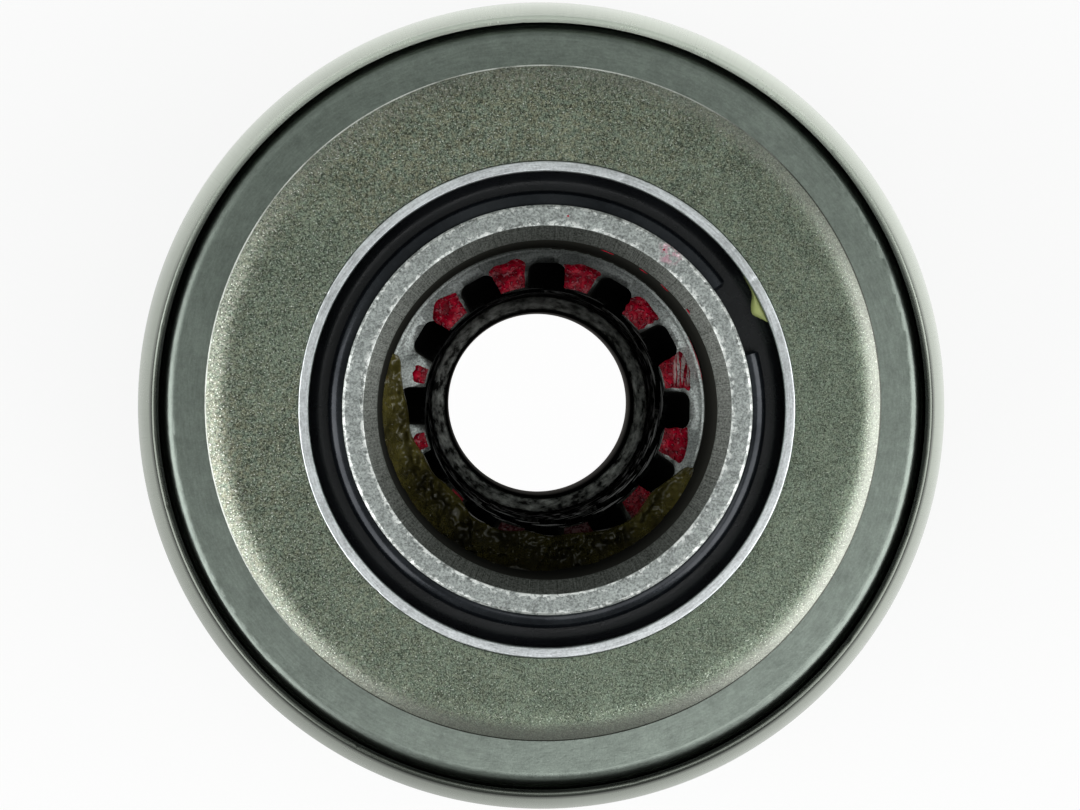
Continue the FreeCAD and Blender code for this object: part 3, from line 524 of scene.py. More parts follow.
def bright_steel(name, base):
    """Bright cup: fine marks round its rim; below the rim, down in the recess, it is painted nearly
    black as shade.
    """
    shader, where = new_shader(name)
    across, along, radius, up = polar(shader, where)
    marks = shader.stretched(across * 14.0, along * 14.0, radius * 9000.0, 3.0, 0.6)
    grain = shader.noise(where, 6000.0, 2.0, 0.6)
    wide = shader.noise(where, 300.0, 3.0, 0.6)
    rim = up.above(CUP_HIGH.z - 0.3 * MM, 0.1 * MM)
    share = (marks - 0.5) * 1.8 + (grain - 0.5) * 1.2 + (wide - 0.5) * 0.8 + 0.62
    tint = shader.shades(share, base, 0.5, 1.0)
    # Painted shade: below its rim the cup is nearly black.
    tint = shader.mix(rim, shader.mix(wide, (0.006, 0.0065, 0.008), (0.022, 0.024, 0.028)), tint)
    roughness = 0.42 + (wide - 0.5) * 0.2 - (1.0 - rim) * 0.14
    normal = shader.bump(grain + marks * 0.8, 0.02 * MM, 0.6)
    return shader.finish(tint, rim * 0.7 + 0.3, roughness, normal)


def sheet_steel(name, base, lip):
    """Smooth drawn sheet with faint drawing lines; painted shade darkens its rolled lip at the sides
    and towards the picture's bottom, and the lip turns less metallic, so paler, towards the top as
    painted light.
    """
    shader, where = new_shader(name)
    across, along, radius, up = polar(shader, where)
    lines = shader.stretched(across * 500.0, along * 500.0, up * 120.0, 3.0)
    stains = shader.noise(where, 90.0, 4.0, 0.55)
    speck = shader.noise(where, 3800.0, 2.0, 0.6)
    tint = shader.shades(stains.above(0.5, 0.5), base, 0.86, 1.05)
    tint = shader.mix(lines.above(0.62, 0.2) * 0.25, tint, scaled(base, 0.7))
    rim = up.above(SHELL_HIGH.z - 1.2 * MM, 0.3 * MM)
    rim = rim * (1.0 - radius.above(lip + 0.62 * MM, 0.25 * MM))
    # Painted shade on the rolled lip at the sides and bottom, and painted light at its top, where it
    # is less metallic.
    low = ((across * across - along) * 0.8 + 0.25).held()
    painted_light_top = rim * (along * 1.2).held()
    tint = shader.mix(rim * low * 0.88, tint, scaled(base, 0.10))
    normal = shader.bump(lines * 0.5 + speck * 0.35, 0.015 * MM, 0.4)
    roughness = 0.24 + (stains - 0.5) * 0.16 + speck * 0.06
    return shader.finish(tint, 1.0 - painted_light_top * 0.6, roughness, normal)


def oiled_metal(name, base, rough, blot=0.5, metal=1.0):
    """Dark metal under an uneven film of oil."""
    shader, where = new_shader(name)
    film = shader.noise(where, 220.0, 4.0, 0.6)
    speck = shader.noise(where, 3600.0, 3.0, 0.65)
    tint = shader.shades(film.above(0.5, 0.5), base, 1.0 - blot, 1.15)
    tint = shader.mix(speck.above(0.62, 0.2) * 0.4, tint, scaled(base, 1.7))
    normal = shader.bump(speck + film * 0.6, 0.03 * MM, 0.5)
    return shader.finish(tint, metal, rough + (film - 0.5) * 0.35, normal,
                         {"Coat Weight": film.above(0.45, 0.3) * 0.5, "Coat Roughness": 0.12})


def porous_bronze(name, base, bore):
    """Sintered bush: bronze outside; its end dark and oiled, with painted highlights in swirls round
    it and painted shade towards the picture's top, and its bore a dull dark coat of oil and painted
    shade.
    """
    shader, where = new_shader(name)
    across, along, radius, up = polar(shader, where)
    pores = shader.noise(where, 2600.0, 3.0, 0.7)
    patches = shader.noise(where, 420.0, 3.0, 0.6)
    swirl = shader.stretched(across * 8.0, along * 8.0, radius * 2200.0, 3.0, 0.6)
    tint = shader.shades(patches, base, 0.35, 1.05)
    tint = shader.mix(pores.above(0.58, 0.12), tint, scaled(base, 0.12))
    end = up.above(BUSH_HIGH.z - 0.4 * MM, 0.1 * MM)
    # Painted highlights: bright swirls round the oiled end; the next line paints shade on it towards
    # the picture's top.
    shaded_oil = shader.mix((swirl - 0.5) * 3.2 + 0.42, (0.02, 0.02, 0.018), (0.95, 0.97, 0.92))
    shaded_oil = shader.mix(along.above(0.55, 0.9) * 0.75, shaded_oil, (0.05, 0.05, 0.045))
    tint = shader.mix(end, tint, shaded_oil)
    # Painted shade with oil: a dull dark coat in the bush's bore.
    inner = (1.0 - radius.above(bore + 0.12 * MM, 0.05 * MM)) * up.above(6 * MM, 10 * MM)
    normal = shader.bump(pores * 0.8 + patches * 0.6 + swirl, 0.06 * MM, 0.8)
    return shader.finish(tint, 0.9, 0.32 + patches * 0.3, normal, oil_and_shade=(inner, (0.03, 0.03, 0.028)))


def seal_rubber(name, base):
    """Black rubber with a dusty bloom."""
    shader, where = new_shader(name)
    bloom = shader.noise(where, 300.0, 4.0, 0.6)
    speck = shader.noise(where, 4200.0, 2.0, 0.6)
    tint = shader.mix(bloom.above(0.55, 0.4) * 0.5, base, scaled(base, 3.0))
    normal = shader.bump(speck, 0.02 * MM, 0.5)
    return shader.finish(tint, 0.0, 0.55 + bloom * 0.25, normal)


def gloss_paint(name, base, floor):
    """Thick glossy marking paint with a dark rim and painted pink sparkle highlights, scraped white on
    one land.

    Grease dulls it at the picture's bottom.
    """
    shader, where = new_shader(name)
    east, north, height = shader.parts(where)
    lumps = shader.noise(where, 1300.0, 2.0, 0.5)
    thin = shader.noise(where, 700.0, 3.0, 0.6)
    sparkle_highlight = shader.noise(where, 4200.0, 1.0, 0.5)
    strokes = shader.stretched(east * 4200.0, north * 500.0, 3.0)
    scraped = east.between(*SCRAPED_X, 0.2 * MM)
    scraped = scraped * north.between(*SCRAPED_Y, 0.4 * MM) * strokes.above(0.50, 0.05)
    tint = shader.shades((lumps - 0.5) * 2.6 + 0.5, base, 0.30, 1.20)
    tint = shader.mix(thin.above(0.64, 0.12) * 0.2, tint, (0.40, 0.12, 0.16))
    tint = shader.mix(scraped * 0.9, tint, (0.72, 0.70, 0.68))
    # Painted highlights: pink sparkles on the paint; the bump below raises the same specks.
    tint = shader.mix(sparkle_highlight.above(0.62, 0.12) * 0.32, tint, (0.86, 0.40, 0.48))
    rim = 1.0 - height.above(floor + 0.055 * MM, 0.03 * MM)
    rim = rim * (1.0 - height.above(floor + 0.2 * MM, MM))
    tint = shader.mix(rim * 0.55, tint, scaled(base, 0.16))
    tint = shader.mix((1.0 - north.above(-6.2 * MM, 2.5 * MM)) * 0.93, tint, (0.022, 0.006, 0.007))
    normal = shader.bump(lumps * 1.3 + sparkle_highlight.above(0.60, 0.15) * 0.7, 0.14 * MM, 1.0)
    return shader.finish(tint, 0.0, 0.16 + thin * 0.1, normal, {"Specular IOR Level": 0.22})


def grease_finish(name, base, dark):
    """Lumpy grease, darkest at the picture's bottom."""
    shader, where = new_shader(name)
    lumps = shader.noise(where, 420.0, 2.0, 0.5)
    fine = shader.noise(where, 1500.0, 3.0, 0.6)
    across, along = shader.parts(where)[:2]
    low = (1.0 - along.above(-6.4 * MM, 4.5 * MM)) * (1.0 - across.above(5.5 * MM, 3.0 * MM) * 0.6)
    tint = shader.shades((lumps - 0.5) * 3.2 + 0.5, base, dark, 1.25)
    tint = shader.mix(low * 0.95 * (1.0 - dark), tint, scaled(base, 0.04))
    tint = shader.mix(fine.above(0.68, 0.08) * 0.12, tint, scaled(base, 1.8))
    wet = lumps.above(0.50, 0.25)
    normal = shader.bump(lumps * 1.5 + fine * 0.22, 0.20 * MM, 0.9)
    return shader.finish(tint, 0.0, 0.34 - wet * 0.16, normal,
                         {"Coat Weight": wet * 0.35, "Coat Roughness": 0.12})


# Surfaces


def rounded(corners, steps=5):
    """Closed outline of (across, up, rounding) corners, each one replaced by an arc.

    The arc touches both sides at rounding / tan(half angle) from the corner, and its middle
    lies on the bisector at rounding / sin(half angle).
    """
    pieces = []
    for number, (across, up, rounding) in enumerate(corners):
        here = np.array([across, up])
        if rounding == 0:
            pieces.append(here[None])
            continue
        after = np.array(corners[(number + 1) % len(corners)][:2]) - here
        before = np.array(corners[number - 1][:2]) - here
        after = after / np.linalg.norm(after)
        before = before / np.linalg.norm(before)
        half = math.acos(np.clip(before @ after, -1, 1)) / 2
        bisector = (before + after) / np.linalg.norm(before + after)
        middle = here + bisector * rounding / math.sin(half)
        start = here + before * rounding / math.tan(half) - middle
        end = here + after * rounding / math.tan(half) - middle
        first = math.atan2(start[1], start[0])
        sweep = (math.atan2(end[1], end[0]) - first + math.pi) % TURN - math.pi
        angle = first + sweep * np.linspace(0, 1, steps + 1)
        pieces.append(middle + rounding * np.stack([np.cos(angle), np.sin(angle)], 1))
    return np.concatenate(pieces)


def ring_outline(bore, low, high, inner_round, outer_round):
    """Section of a plain ring from its bore and lowest height to its highest corner."""
    return rounded([(bore, low, inner_round), (high.x, low, outer_round),
                    (high.x, high.z, outer_round), (bore, high.z, inner_round)])


def spaced(outline, longest, top=None, finer=None):
    """Outline with points added evenly on its long sides.

    A side has no stretch longer than longest, or than finer where its middle is above top.
    """
    ends = np.roll(outline, -1, axis=0)
    limit = np.full(len(outline), longest)
    if top is not None:
        limit[(outline[:, 1] + ends[:, 1]) / 2 > top] = finer
    counts = np.maximum(1, np.ceil(np.linalg.norm(ends - outline, axis=1) / limit)).astype(int)
    starts = np.repeat(outline, counts, axis=0)
    sides = np.repeat(ends - outline, counts, axis=0)
    number = np.arange(counts.sum()) - np.repeat(np.cumsum(counts) - counts, counts)
    return starts + sides * (number / np.repeat(counts, counts))[:, None]


def circle(count):
    """Even angles once round a circle."""
    return np.linspace(0, TURN, count, endpoint=False)


def about_axis(radius, angle, height):
    """Grid of points (r cos a, r sin a, z) from arrays of radius r, angle a and height z."""
    across, along = radius * np.cos(angle), radius * np.sin(angle)
    return np.stack(np.broadcast_arrays(across, along, height), -1)


def turned(outline, around):
    """Outline of (radius, height) carried round the Z axis."""
    return about_axis(outline[:, 0], circle(around)[:, None], outline[:, 1])


def coiled(angle, radius, height, wire, around):
    """Round wire along a circle or a helix about the Z axis.

    At angle a of the path and angle b of the section a point has the distance
    radius + wire cos b from the axis and the height height + wire sin b.
    """
    section = circle(around)[None, :]
    height, wire = (np.broadcast_to(value, len(angle))[:, None] for value in (height, wire))
    return about_axis(radius + wire * np.cos(section), angle[:, None], height + wire * np.sin(section))


def slab(upper, base):
    """Rows of points, each one closed by the same row level at the height base."""
    lower = upper[:, ::-1].copy()
    lower[..., 2] = base
    return np.concatenate([upper, lower], 1)


def surface(name, points, wrap_rows=True, wrap_columns=True, capped=False):
    """Mesh object over a grid of points in metres, with its faces outwards.

    A face joins each point to its neighbours in the next row and column. A wrapped grid joins its
    last row or column to its first, and a capped one has a face over its first and last row.
    """
    rows, columns = points.shape[:2]
    number = np.arange(rows * columns).reshape(rows, columns)
    here = number if wrap_rows else number[:-1]
    nxt = np.roll(number, -1, 0) if wrap_rows else number[1:]
    if wrap_columns:
        quads = [here, nxt, np.roll(nxt, -1, 1), np.roll(here, -1, 1)]
    else:
        quads = [here[:, :-1], nxt[:, :-1], nxt[:, 1:], here[:, 1:]]
    faces = np.stack([part.ravel() for part in quads], 1)
    vertices = points.reshape(-1, 3)
    corner = vertices[faces]
    cross = np.cross(corner[:, 2] - corner[:, 0], corner[:, 3] - corner[:, 1])
    outward = (cross * (corner.mean(1) - vertices.mean(0))).sum() > 0
    polygons = [list(face) for face in (faces if outward else faces[:, ::-1])]
    if capped:
        ends = [list(number[0]), list(number[-1][::-1])]
        polygons += ends if not outward else [end[::-1] for end in ends]
    mesh = bpy.data.meshes.new(name)
    mesh.from_pydata(vertices.tolist(), [], polygons)
    made = bpy.data.objects.new(name, mesh)
    bpy.context.scene.collection.objects.link(made)
    smooth(made)
    return made


def smooth(piece, angle=32):
    """Smooth shading that keeps edges sharper than the angle."""
    piece.data.shade_smooth()
    piece.data.set_sharp_from_angle(angle=math.radians(angle))


def weld(piece):
    """Merge doubled points, such as those at a pole."""
    work = bmesh.new()
    work.from_mesh(piece.data)
    bmesh.ops.remove_doubles(work, verts=work.verts, dist=1e-7)
    bmesh.ops.dissolve_degenerate(work, dist=1e-8, edges=work.edges)
    bmesh.ops.recalc_face_normals(work, faces=work.faces)
    work.to_mesh(piece.data)
    work.free()
    smooth(piece)


def nick(points, seed, count, depth, width, edge, direction):
    """Dents at random places of a round edge of (radius, height).

    Each point moves along direction, (outwards, up), by depth exp(-(distance / width)^2).
    """
    chance = np.random.default_rng(seed)
    radius, height = edge
    flat = points.reshape(-1, 3)
    reach = np.hypot(flat[:, 0], flat[:, 1])
    near = np.hypot(reach - radius, flat[:, 2] - height) < 4 * width
    angle = chance.uniform(0, TURN, count)
    size = chance.uniform(0.35, 1.0, count)
    off = chance.normal(0, width * 0.4, count)
    place = np.stack([np.cos(angle) * (radius + off), np.sin(angle) * (radius + off),
                      np.full(count, height)], 1)
    apart = ((flat[near][:, None] - place[None]) ** 2).sum(-1)
    amount = (depth * size * np.exp(-apart / (width * size) ** 2)).max(1)
    out = flat[near] / np.maximum(reach[near], 1e-9)[:, None]
    out[:, 2] = 0
    flat[near] += amount[:, None] * (out * direction[0] + np.array([0, 0, direction[1]]))
    return points


def grit(angle, seed, count):
    """Random values at count even places round a circle, joined smoothly between them."""
    values = np.random.default_rng(seed).normal(0, 1, count)
    place = (angle / TURN) % 1.0 * count
    whole = np.floor(place).astype(int)
    share = place - whole
    share = share * share * (3 - 2 * share)
    return values[whole % count] * (1 - share) + values[(whole + 1) % count] * share


def fray(points, seed, count, depth, width, edge, direction):
    """Uneven round edge of (radius, height).

    Each point moves along direction, (outwards, up), by depth grit(angle)
    exp(-(distance / width)^2).
    """
    radius, height = edge
    flat = points.reshape(-1, 3)
    reach = np.hypot(flat[:, 0], flat[:, 1])
    apart = np.hypot(reach - radius, flat[:, 2] - height)
    amount = depth * np.exp(-(apart / width) ** 2)
    angle = np.arctan2(flat[:, 1], flat[:, 0])
    amount = amount * (grit(angle, seed, count) * 0.6 + grit(angle, seed + 1, count // 4) * 0.6)
    out = flat / np.maximum(reach, 1e-9)[:, None]
    out[:, 2] = 0
    flat += amount[:, None] * (out * direction[0] + np.array([0, 0, direction[1]]))
    return points


def ripple(angle, seed, terms, lowest=2):
    """Smooth noise that closes round a circle: a sum of cosines with random phases."""
    chance = np.random.default_rng(seed)
    total = np.zeros_like(angle)
    for step in range(terms):
        share = chance.normal(0, 1) / math.sqrt(terms)
        total = total + share * np.cos((lowest + step) * angle + chance.uniform(0, TURN))
    return total


def waves(across, along, seed, terms, size):
    """Smooth noise over a plane: a sum of cosines along random directions, about size long."""
    chance = np.random.default_rng(seed)
    total = np.zeros(np.broadcast(across, along).shape)
    for _ in range(terms):
        turn = chance.uniform(0, TURN)
        pace = TURN / (size * chance.uniform(0.7, 1.6))
        phase = chance.uniform(0, TURN)
        total += np.cos(pace * (across * math.cos(turn) + along * math.sin(turn)) + phase)
    return total / math.sqrt(terms)


def settle(piece, node, material, replaced=True):
    """Give a new piece its finish and its body, and hide the node that it stands for when replaced is
    true.
    """
    piece.data.materials.clear()
    piece.data.materials.append(material)
    if replaced:
        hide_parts(node)
    slot_of(node)
    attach(piece, body_of(node))
    return piece


def merged(node, height=None):
    """Copy of a node's mesh with its doubles merged, cut off level at a height if one is given."""
    mesh = frame["nodes"][node].data.copy()
    work = bmesh.new()
    work.from_mesh(mesh)
    bmesh.ops.remove_doubles(work, verts=work.verts, dist=1e-7)
    if height is not None:
        parts = work.verts[:] + work.edges[:] + work.faces[:]
        bmesh.ops.bisect_plane(work, geom=parts, plane_co=(0, 0, height), plane_no=(0, 0, 1),
                               clear_outer=True, dist=1e-8)
        rim = [edge for edge in work.edges if edge.is_boundary]
        bmesh.ops.triangle_fill(work, edges=rim, use_beauty=True, normal=(0, 0, 1))
        bmesh.ops.recalc_face_normals(work, faces=work.faces)
    work.to_mesh(mesh)
    work.free()
    return mesh


def polished(node, material, label, height=None, level=True):
    """Merged and smoothed copy of a node, which stands for it.

    It ends at a height if one is given, and level evens the shading of its flat faces.
    """
    made = bpy.data.objects.new(label, merged(node, height))
    made.data.name = label
    bpy.context.scene.collection.objects.link(made)
    smooth(made)
    if level:
        even = made.modifiers.new("even shading", "WEIGHTED_NORMAL")
        even.keep_sharp = True
    return settle(made, node, material)


# Pieces


class STARTER_OT_sleeve(bpy.types.Operator):
    """Drum, splined bore and worn sleeve end"""

    bl_idname = "starter.sleeve"
    bl_label = "Sleeve"

    def execute(self, context):
        sizes = context.scene.starter_sizes
        material = sleeve_steel("sleeve_steel", context.scene.starter_colours, sizes)
        seam = sizes.floor_height + sizes.counterbore_round
        polished("drive_sleeve", material, "drum", seam)
        end = SLEEVE_HIGH.z
        bore, mouth, tube = sizes.counterbore, sizes.mouth_radius, sizes.tube_radius
        groove_low = (WIRE_HIGH.z + WIRE_LOW.z - sizes.groove_width) / 2
        groove_high = groove_low + sizes.groove_width
        groove = tube - sizes.groove_depth
        outline = rounded([
            (bore, seam, 0), (bore, end - sizes.mouth_bevel, 0.06 * MM), (mouth, end, 0.11 * MM),
            (tube - sizes.tube_edge, end, 0.09 * MM), (tube, end - sizes.tube_edge, 0.06 * MM),
            (tube, groove_high, 0.05 * MM), (groove, groove_high, 0.05 * MM),
            (groove, groove_low, 0.05 * MM), (tube, groove_low, 0.05 * MM), (tube, seam, 0),
        ], 4)
        outline = spaced(outline, longest=1.5 * MM, top=end - 1.1 * MM, finer=0.13 * MM)
        points = turned(outline, around=1200)
        inner, outer = (mouth, end), (tube - sizes.tube_edge, end)
        worn = {"count": 560, "width": 0.10 * MM}
        points = fray(points, 31, depth=0.020 * MM, edge=inner, direction=(-0.6, 0.8), **worn)
        points = fray(points, 33, depth=0.024 * MM, edge=outer, direction=(0.6, 0.8), **worn)
        dents = {"count": 60, "depth": 0.05 * MM, "width": 0.12 * MM}
        points = nick(points, 35, edge=inner, direction=(0.5, -1.0), **dents)
        points = nick(points, 36, edge=outer, direction=(-0.7, -0.9), **dents)
        points[..., 2] = np.minimum(points[..., 2], end)
        settle(surface("sleeve_end", points), "drive_sleeve", material)
        return {"FINISHED"}


class STARTER_OT_shell(bpy.types.Operator):
    """Sheet shell with its edge rolled in over the drum"""

    bl_idname = "starter.shell"
    bl_label = "Clutch shell"

    def execute(self, context):
        sizes = context.scene.starter_sizes
        radius = SHELL_HIGH.x
        low, high = SHELL_LOW.z, SHELL_HIGH.z
        lip = sizes.lip_radius + 0.3 * MM
        reach = radius - lip
        curve = (reach**2 + sizes.swage_height**2) / (2 * reach)
        tilt = math.asin(sizes.swage_height / curve)
        bend = np.linspace(0, tilt, 14)
        rolled = np.stack([radius - curve + curve * np.cos(bend),
                           high - sizes.swage_height + curve * np.sin(bend)], 1)
        inside = radius - sizes.shell_wall
        corners = [(sizes.shell_hole, low, 0.25 * MM), (radius, low, sizes.shell_corner)]
        corners += [(across, up, 0) for across, up in rolled[:-1]]
        corners += [(lip, high, 0.28 * MM), (sizes.lip_radius, high - 0.34 * MM, 0.10 * MM),
                    (inside, high - 3.85 * MM, 0),
                    (inside, low + sizes.shell_wall, 1.0 * MM),
                    (sizes.shell_hole, low + sizes.shell_wall, 0)]
        outline = spaced(rounded(corners, 8), longest=1.2 * MM, top=high - 0.9 * MM, finer=0.13 * MM)
        points = turned(outline, around=930)
        points = fray(points, 13, count=500, depth=0.008 * MM, width=0.12 * MM, edge=(lip, high),
                      direction=(0.6, -0.6))
        points = nick(points, 11, count=34, depth=0.07 * MM, width=0.28 * MM,
                      edge=(lip - 0.1 * MM, high), direction=(0.5, -1.0))
        points = nick(points, 12, count=24, depth=0.09 * MM, width=0.2 * MM,
                      edge=(sizes.lip_radius, high - 0.2 * MM), direction=(0.8, -0.5))
        settle(surface("shell", points), "clutch_shell",
               sheet_steel("sheet_steel", context.scene.starter_colours.shell, sizes.lip_radius))
        return {"FINISHED"}


class STARTER_OT_collar(bpy.types.Operator):
    """Shift collar with its fork groove"""

    bl_idname = "starter.collar"
    bl_label = "Shift collar"

    def execute(self, context):
        sizes = context.scene.starter_sizes
        low, high = COLLAR_LOW.z, COLLAR_HIGH.z
        middle = (COLLAR_LOW + COLLAR_HIGH) / 2
        groove_high = high - sizes.rear_thickness
        groove_low = low + sizes.front_thickness
        seat = CUP_HIGH.x + 0.03 * MM
        fall = [(sizes.rear_radius - sizes.rear_fall * (1 - part), high - sizes.rear_drop * part**2, 0)
                for part in np.linspace(1, 0, 10)]
        outline = rounded([
            (sizes.collar_bore, low, 0.2 * MM),
            (sizes.front_radius, low, 0.45 * MM),
            (sizes.front_radius, groove_low, 0.4 * MM),
            (sizes.hub_radius, groove_low, 0.35 * MM),
            (sizes.hub_radius, groove_high, 0.35 * MM),
            (sizes.rear_radius, groove_high, 0.4 * MM),
            *fall,
            (seat, high, 0.06 * MM),
            (seat, CUP_LOW.z, 0),
            (sizes.collar_bore, CUP_LOW.z, 0),
        ], 8)
        points = turned(spaced(outline, longest=0.45 * MM), around=540)
        reach = np.hypot(points[..., 0], points[..., 1])
        share = np.clip((reach - seat - 0.45 * MM) / (3.0 * MM), 0, 1)
        share = share * (points[..., 2] > groove_high - 0.01 * MM)
        points += share[..., None] * np.array([middle.x, middle.y, 0])
        settle(surface("collar", points), "shift_collar",
               sintered_steel("sintered_steel", context.scene.starter_colours.collar, middle,
                              sizes.rear_radius, high - sizes.rear_drop))
        return {"FINISHED"}


class STARTER_OT_cup(bpy.types.Operator):
    """Thin bright cup round the snap ring"""

    bl_idname = "starter.cup"
    bl_label = "Retainer cup"

    def execute(self, context):
        sizes = context.scene.starter_sizes
        outer = CUP_HIGH.x
        inner = outer - sizes.cup_wall
        low, high = CUP_LOW.z, CUP_HIGH.z
        outline = rounded([
            (sizes.collar_bore, low, 0), (outer, low, 0.5 * MM), (outer, high, 0.1 * MM),
            (inner, high, 0.12 * MM), (inner, low + sizes.cup_wall, 0.75 * MM),
            (sizes.collar_bore, low + sizes.cup_wall, 0.1 * MM),
        ], 8)
        points = turned(spaced(outline, longest=0.2 * MM), around=900)
        points = fray(points, 23, count=300, depth=0.008 * MM, width=0.08 * MM, edge=(outer, high),
                      direction=(0.3, -0.8))
        points = nick(points, 21, count=26, depth=0.05 * MM, width=0.18 * MM, edge=(outer, high),
                      direction=(-0.5, -1.0))
        points = nick(points, 22, count=4, depth=0.05 * MM, width=0.22 * MM,
                      edge=(outer - 0.3 * MM, high), direction=(0.0, -1.0))
        settle(surface("cup", points), "retainer_cup",
               bright_steel("bright_steel", context.scene.starter_colours.cup))
        return {"FINISHED"}


class STARTER_OT_snap_ring(bpy.types.Operator):
    """Open wire ring in the sleeve's groove"""

    bl_idname = "starter.snap_ring"
    bl_label = "Snap ring"

    def execute(self, context):
        wire = (WIRE_HIGH.z - WIRE_LOW.z) / 2
        middle = -WIRE_LOW.x - wire
        angle = np.radians(np.linspace(*SNAP_RING_ENDS, 420))
        end = np.minimum(angle - angle[0], angle[-1] - angle) * middle / (0.3 * wire)
        taper = np.sqrt(np.clip(1 - (1 - np.clip(end, 0, 1)) ** 2, 0, 1)) * 0.3 + 0.7
        points = coiled(angle, middle, (WIRE_HIGH.z + WIRE_LOW.z) / 2, wire * taper, around=28)
        piece = surface("snap_ring_wire", points, wrap_rows=False, capped=True)
        settle(piece, "snap_ring", oiled_metal(
            "drawn_wire", context.scene.starter_colours.wire, rough=0.26, metal=0.75))
        return {"FINISHED"}


class STARTER_OT_meshing_spring(bpy.types.Operator):
    """Coil spring between the drum and the collar, its end coils closed and ground flat"""

    bl_idname = "starter.meshing_spring"
    bl_label = "Meshing spring"

    def execute(self, context):
        wire = context.scene.starter_sizes.spring_wire
        low, high = COIL_LOW.z, COIL_HIGH.z
        turns, closed, blend = 4.2, 0.9, 30
        along = np.linspace(0, turns, 900)
        rise = np.interp(along, [0, closed, turns - closed, turns], [0.0, 0.19, 0.81, 1.0])
        rise = rise * (high - low - 1.3 * wire) + low + 0.65 * wire
        rise = np.convolve(np.pad(rise, blend, "edge"), np.full(2 * blend + 1, 1 / (2 * blend + 1)),
                           "valid")
        points = coiled(along * TURN + 0.6, COIL_HIGH.x - wire, rise, wire, around=24)
        points[..., 2] = np.clip(points[..., 2], low, high)
        piece = surface("coil_spring", points, wrap_rows=False, capped=True)
        settle(piece, "meshing_spring", oiled_metal(
            "spring_steel", context.scene.starter_colours.spring, rough=0.34, blot=0.3))
        1 - travel_of("collar_slide") / (high - low)
        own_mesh(piece)
        return {"FINISHED"}


class STARTER_OT_washer(bpy.types.Operator):
    """Washer between the spring and the collar"""

    bl_idname = "starter.washer"
    bl_label = "Spring washer"

    def execute(self, context):
        bore = context.scene.starter_sizes.washer_bore
        outline = ring_outline(bore, WASHER_LOW.z, WASHER_HIGH, 0.1 * MM, 0.3 * MM)
        settle(surface("washer", turned(outline, around=360)), "spring_washer",
               turned_steel("plate_steel", context.scene.starter_colours.drum, rough=0.4))
        return {"FINISHED"}


class STARTER_OT_pinion(bpy.types.Operator):
    """Pinion and its bush"""

    bl_idname = "starter.pinion"
    bl_label = "Pinion"

    def execute(self, context):
        sizes, colours = context.scene.starter_sizes, context.scene.starter_colours
        polished("pinion", pinion_steel("gear_steel", colours.gear, sizes.race_bore), "gear")
        outline = ring_outline(sizes.bush_bore, BUSH_LOW.z, BUSH_HIGH, 0.3 * MM, 0.15 * MM)
        points = turned(spaced(outline, longest=1.0 * MM), around=360)
        settle(surface("bush", points), "pinion_bush",
               porous_bronze("porous_bronze", colours.bronze, sizes.bush_bore))
        return {"FINISHED"}


class STARTER_OT_inner(bpy.types.Operator):
    """Rollers, plungers, small springs, plates and the seal"""

    bl_idname = "starter.inner"
    bl_label = "Inner pieces"

    def execute(self, context):
        colours = context.scene.starter_colours
        ground = turned_steel("ground_steel", colours.roller, rough=0.18, marks=0.2, grain=0.15)
        turned_cup = turned_steel("plunger_steel", colours.plunger, rough=0.35)
        wire = oiled_metal("small_spring_steel", colours.small_spring, rough=0.3, blot=0.3)
        plate = turned_steel("flat_steel", colours.plate, rough=0.38, marks=0.6)
        for group, material in ((numbered("roller_"), ground), (numbered("plunger_"), turned_cup),
                                (["cover_plate", "half_ring_1", "half_ring_2"], plate)):
            for node in group:
                polished(node, material, node + "_finished")
        springs = numbered("roller_spring_")
        low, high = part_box(springs[0])
        for number, node in enumerate(springs):
            piece = polished(node, wire, node + "_finished", level=False)
            turn = Matrix.Rotation(-number * TURN / len(springs), 3, "Z")
            slide = "plunger_slide_%d" % (number + 1)
            1 - travel_of(slide) / (high.x - low.x)
            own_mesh(piece)
        polished("dust_seal", seal_rubber("seal_rubber", colours.rubber), "seal")
        return {"FINISHED"}


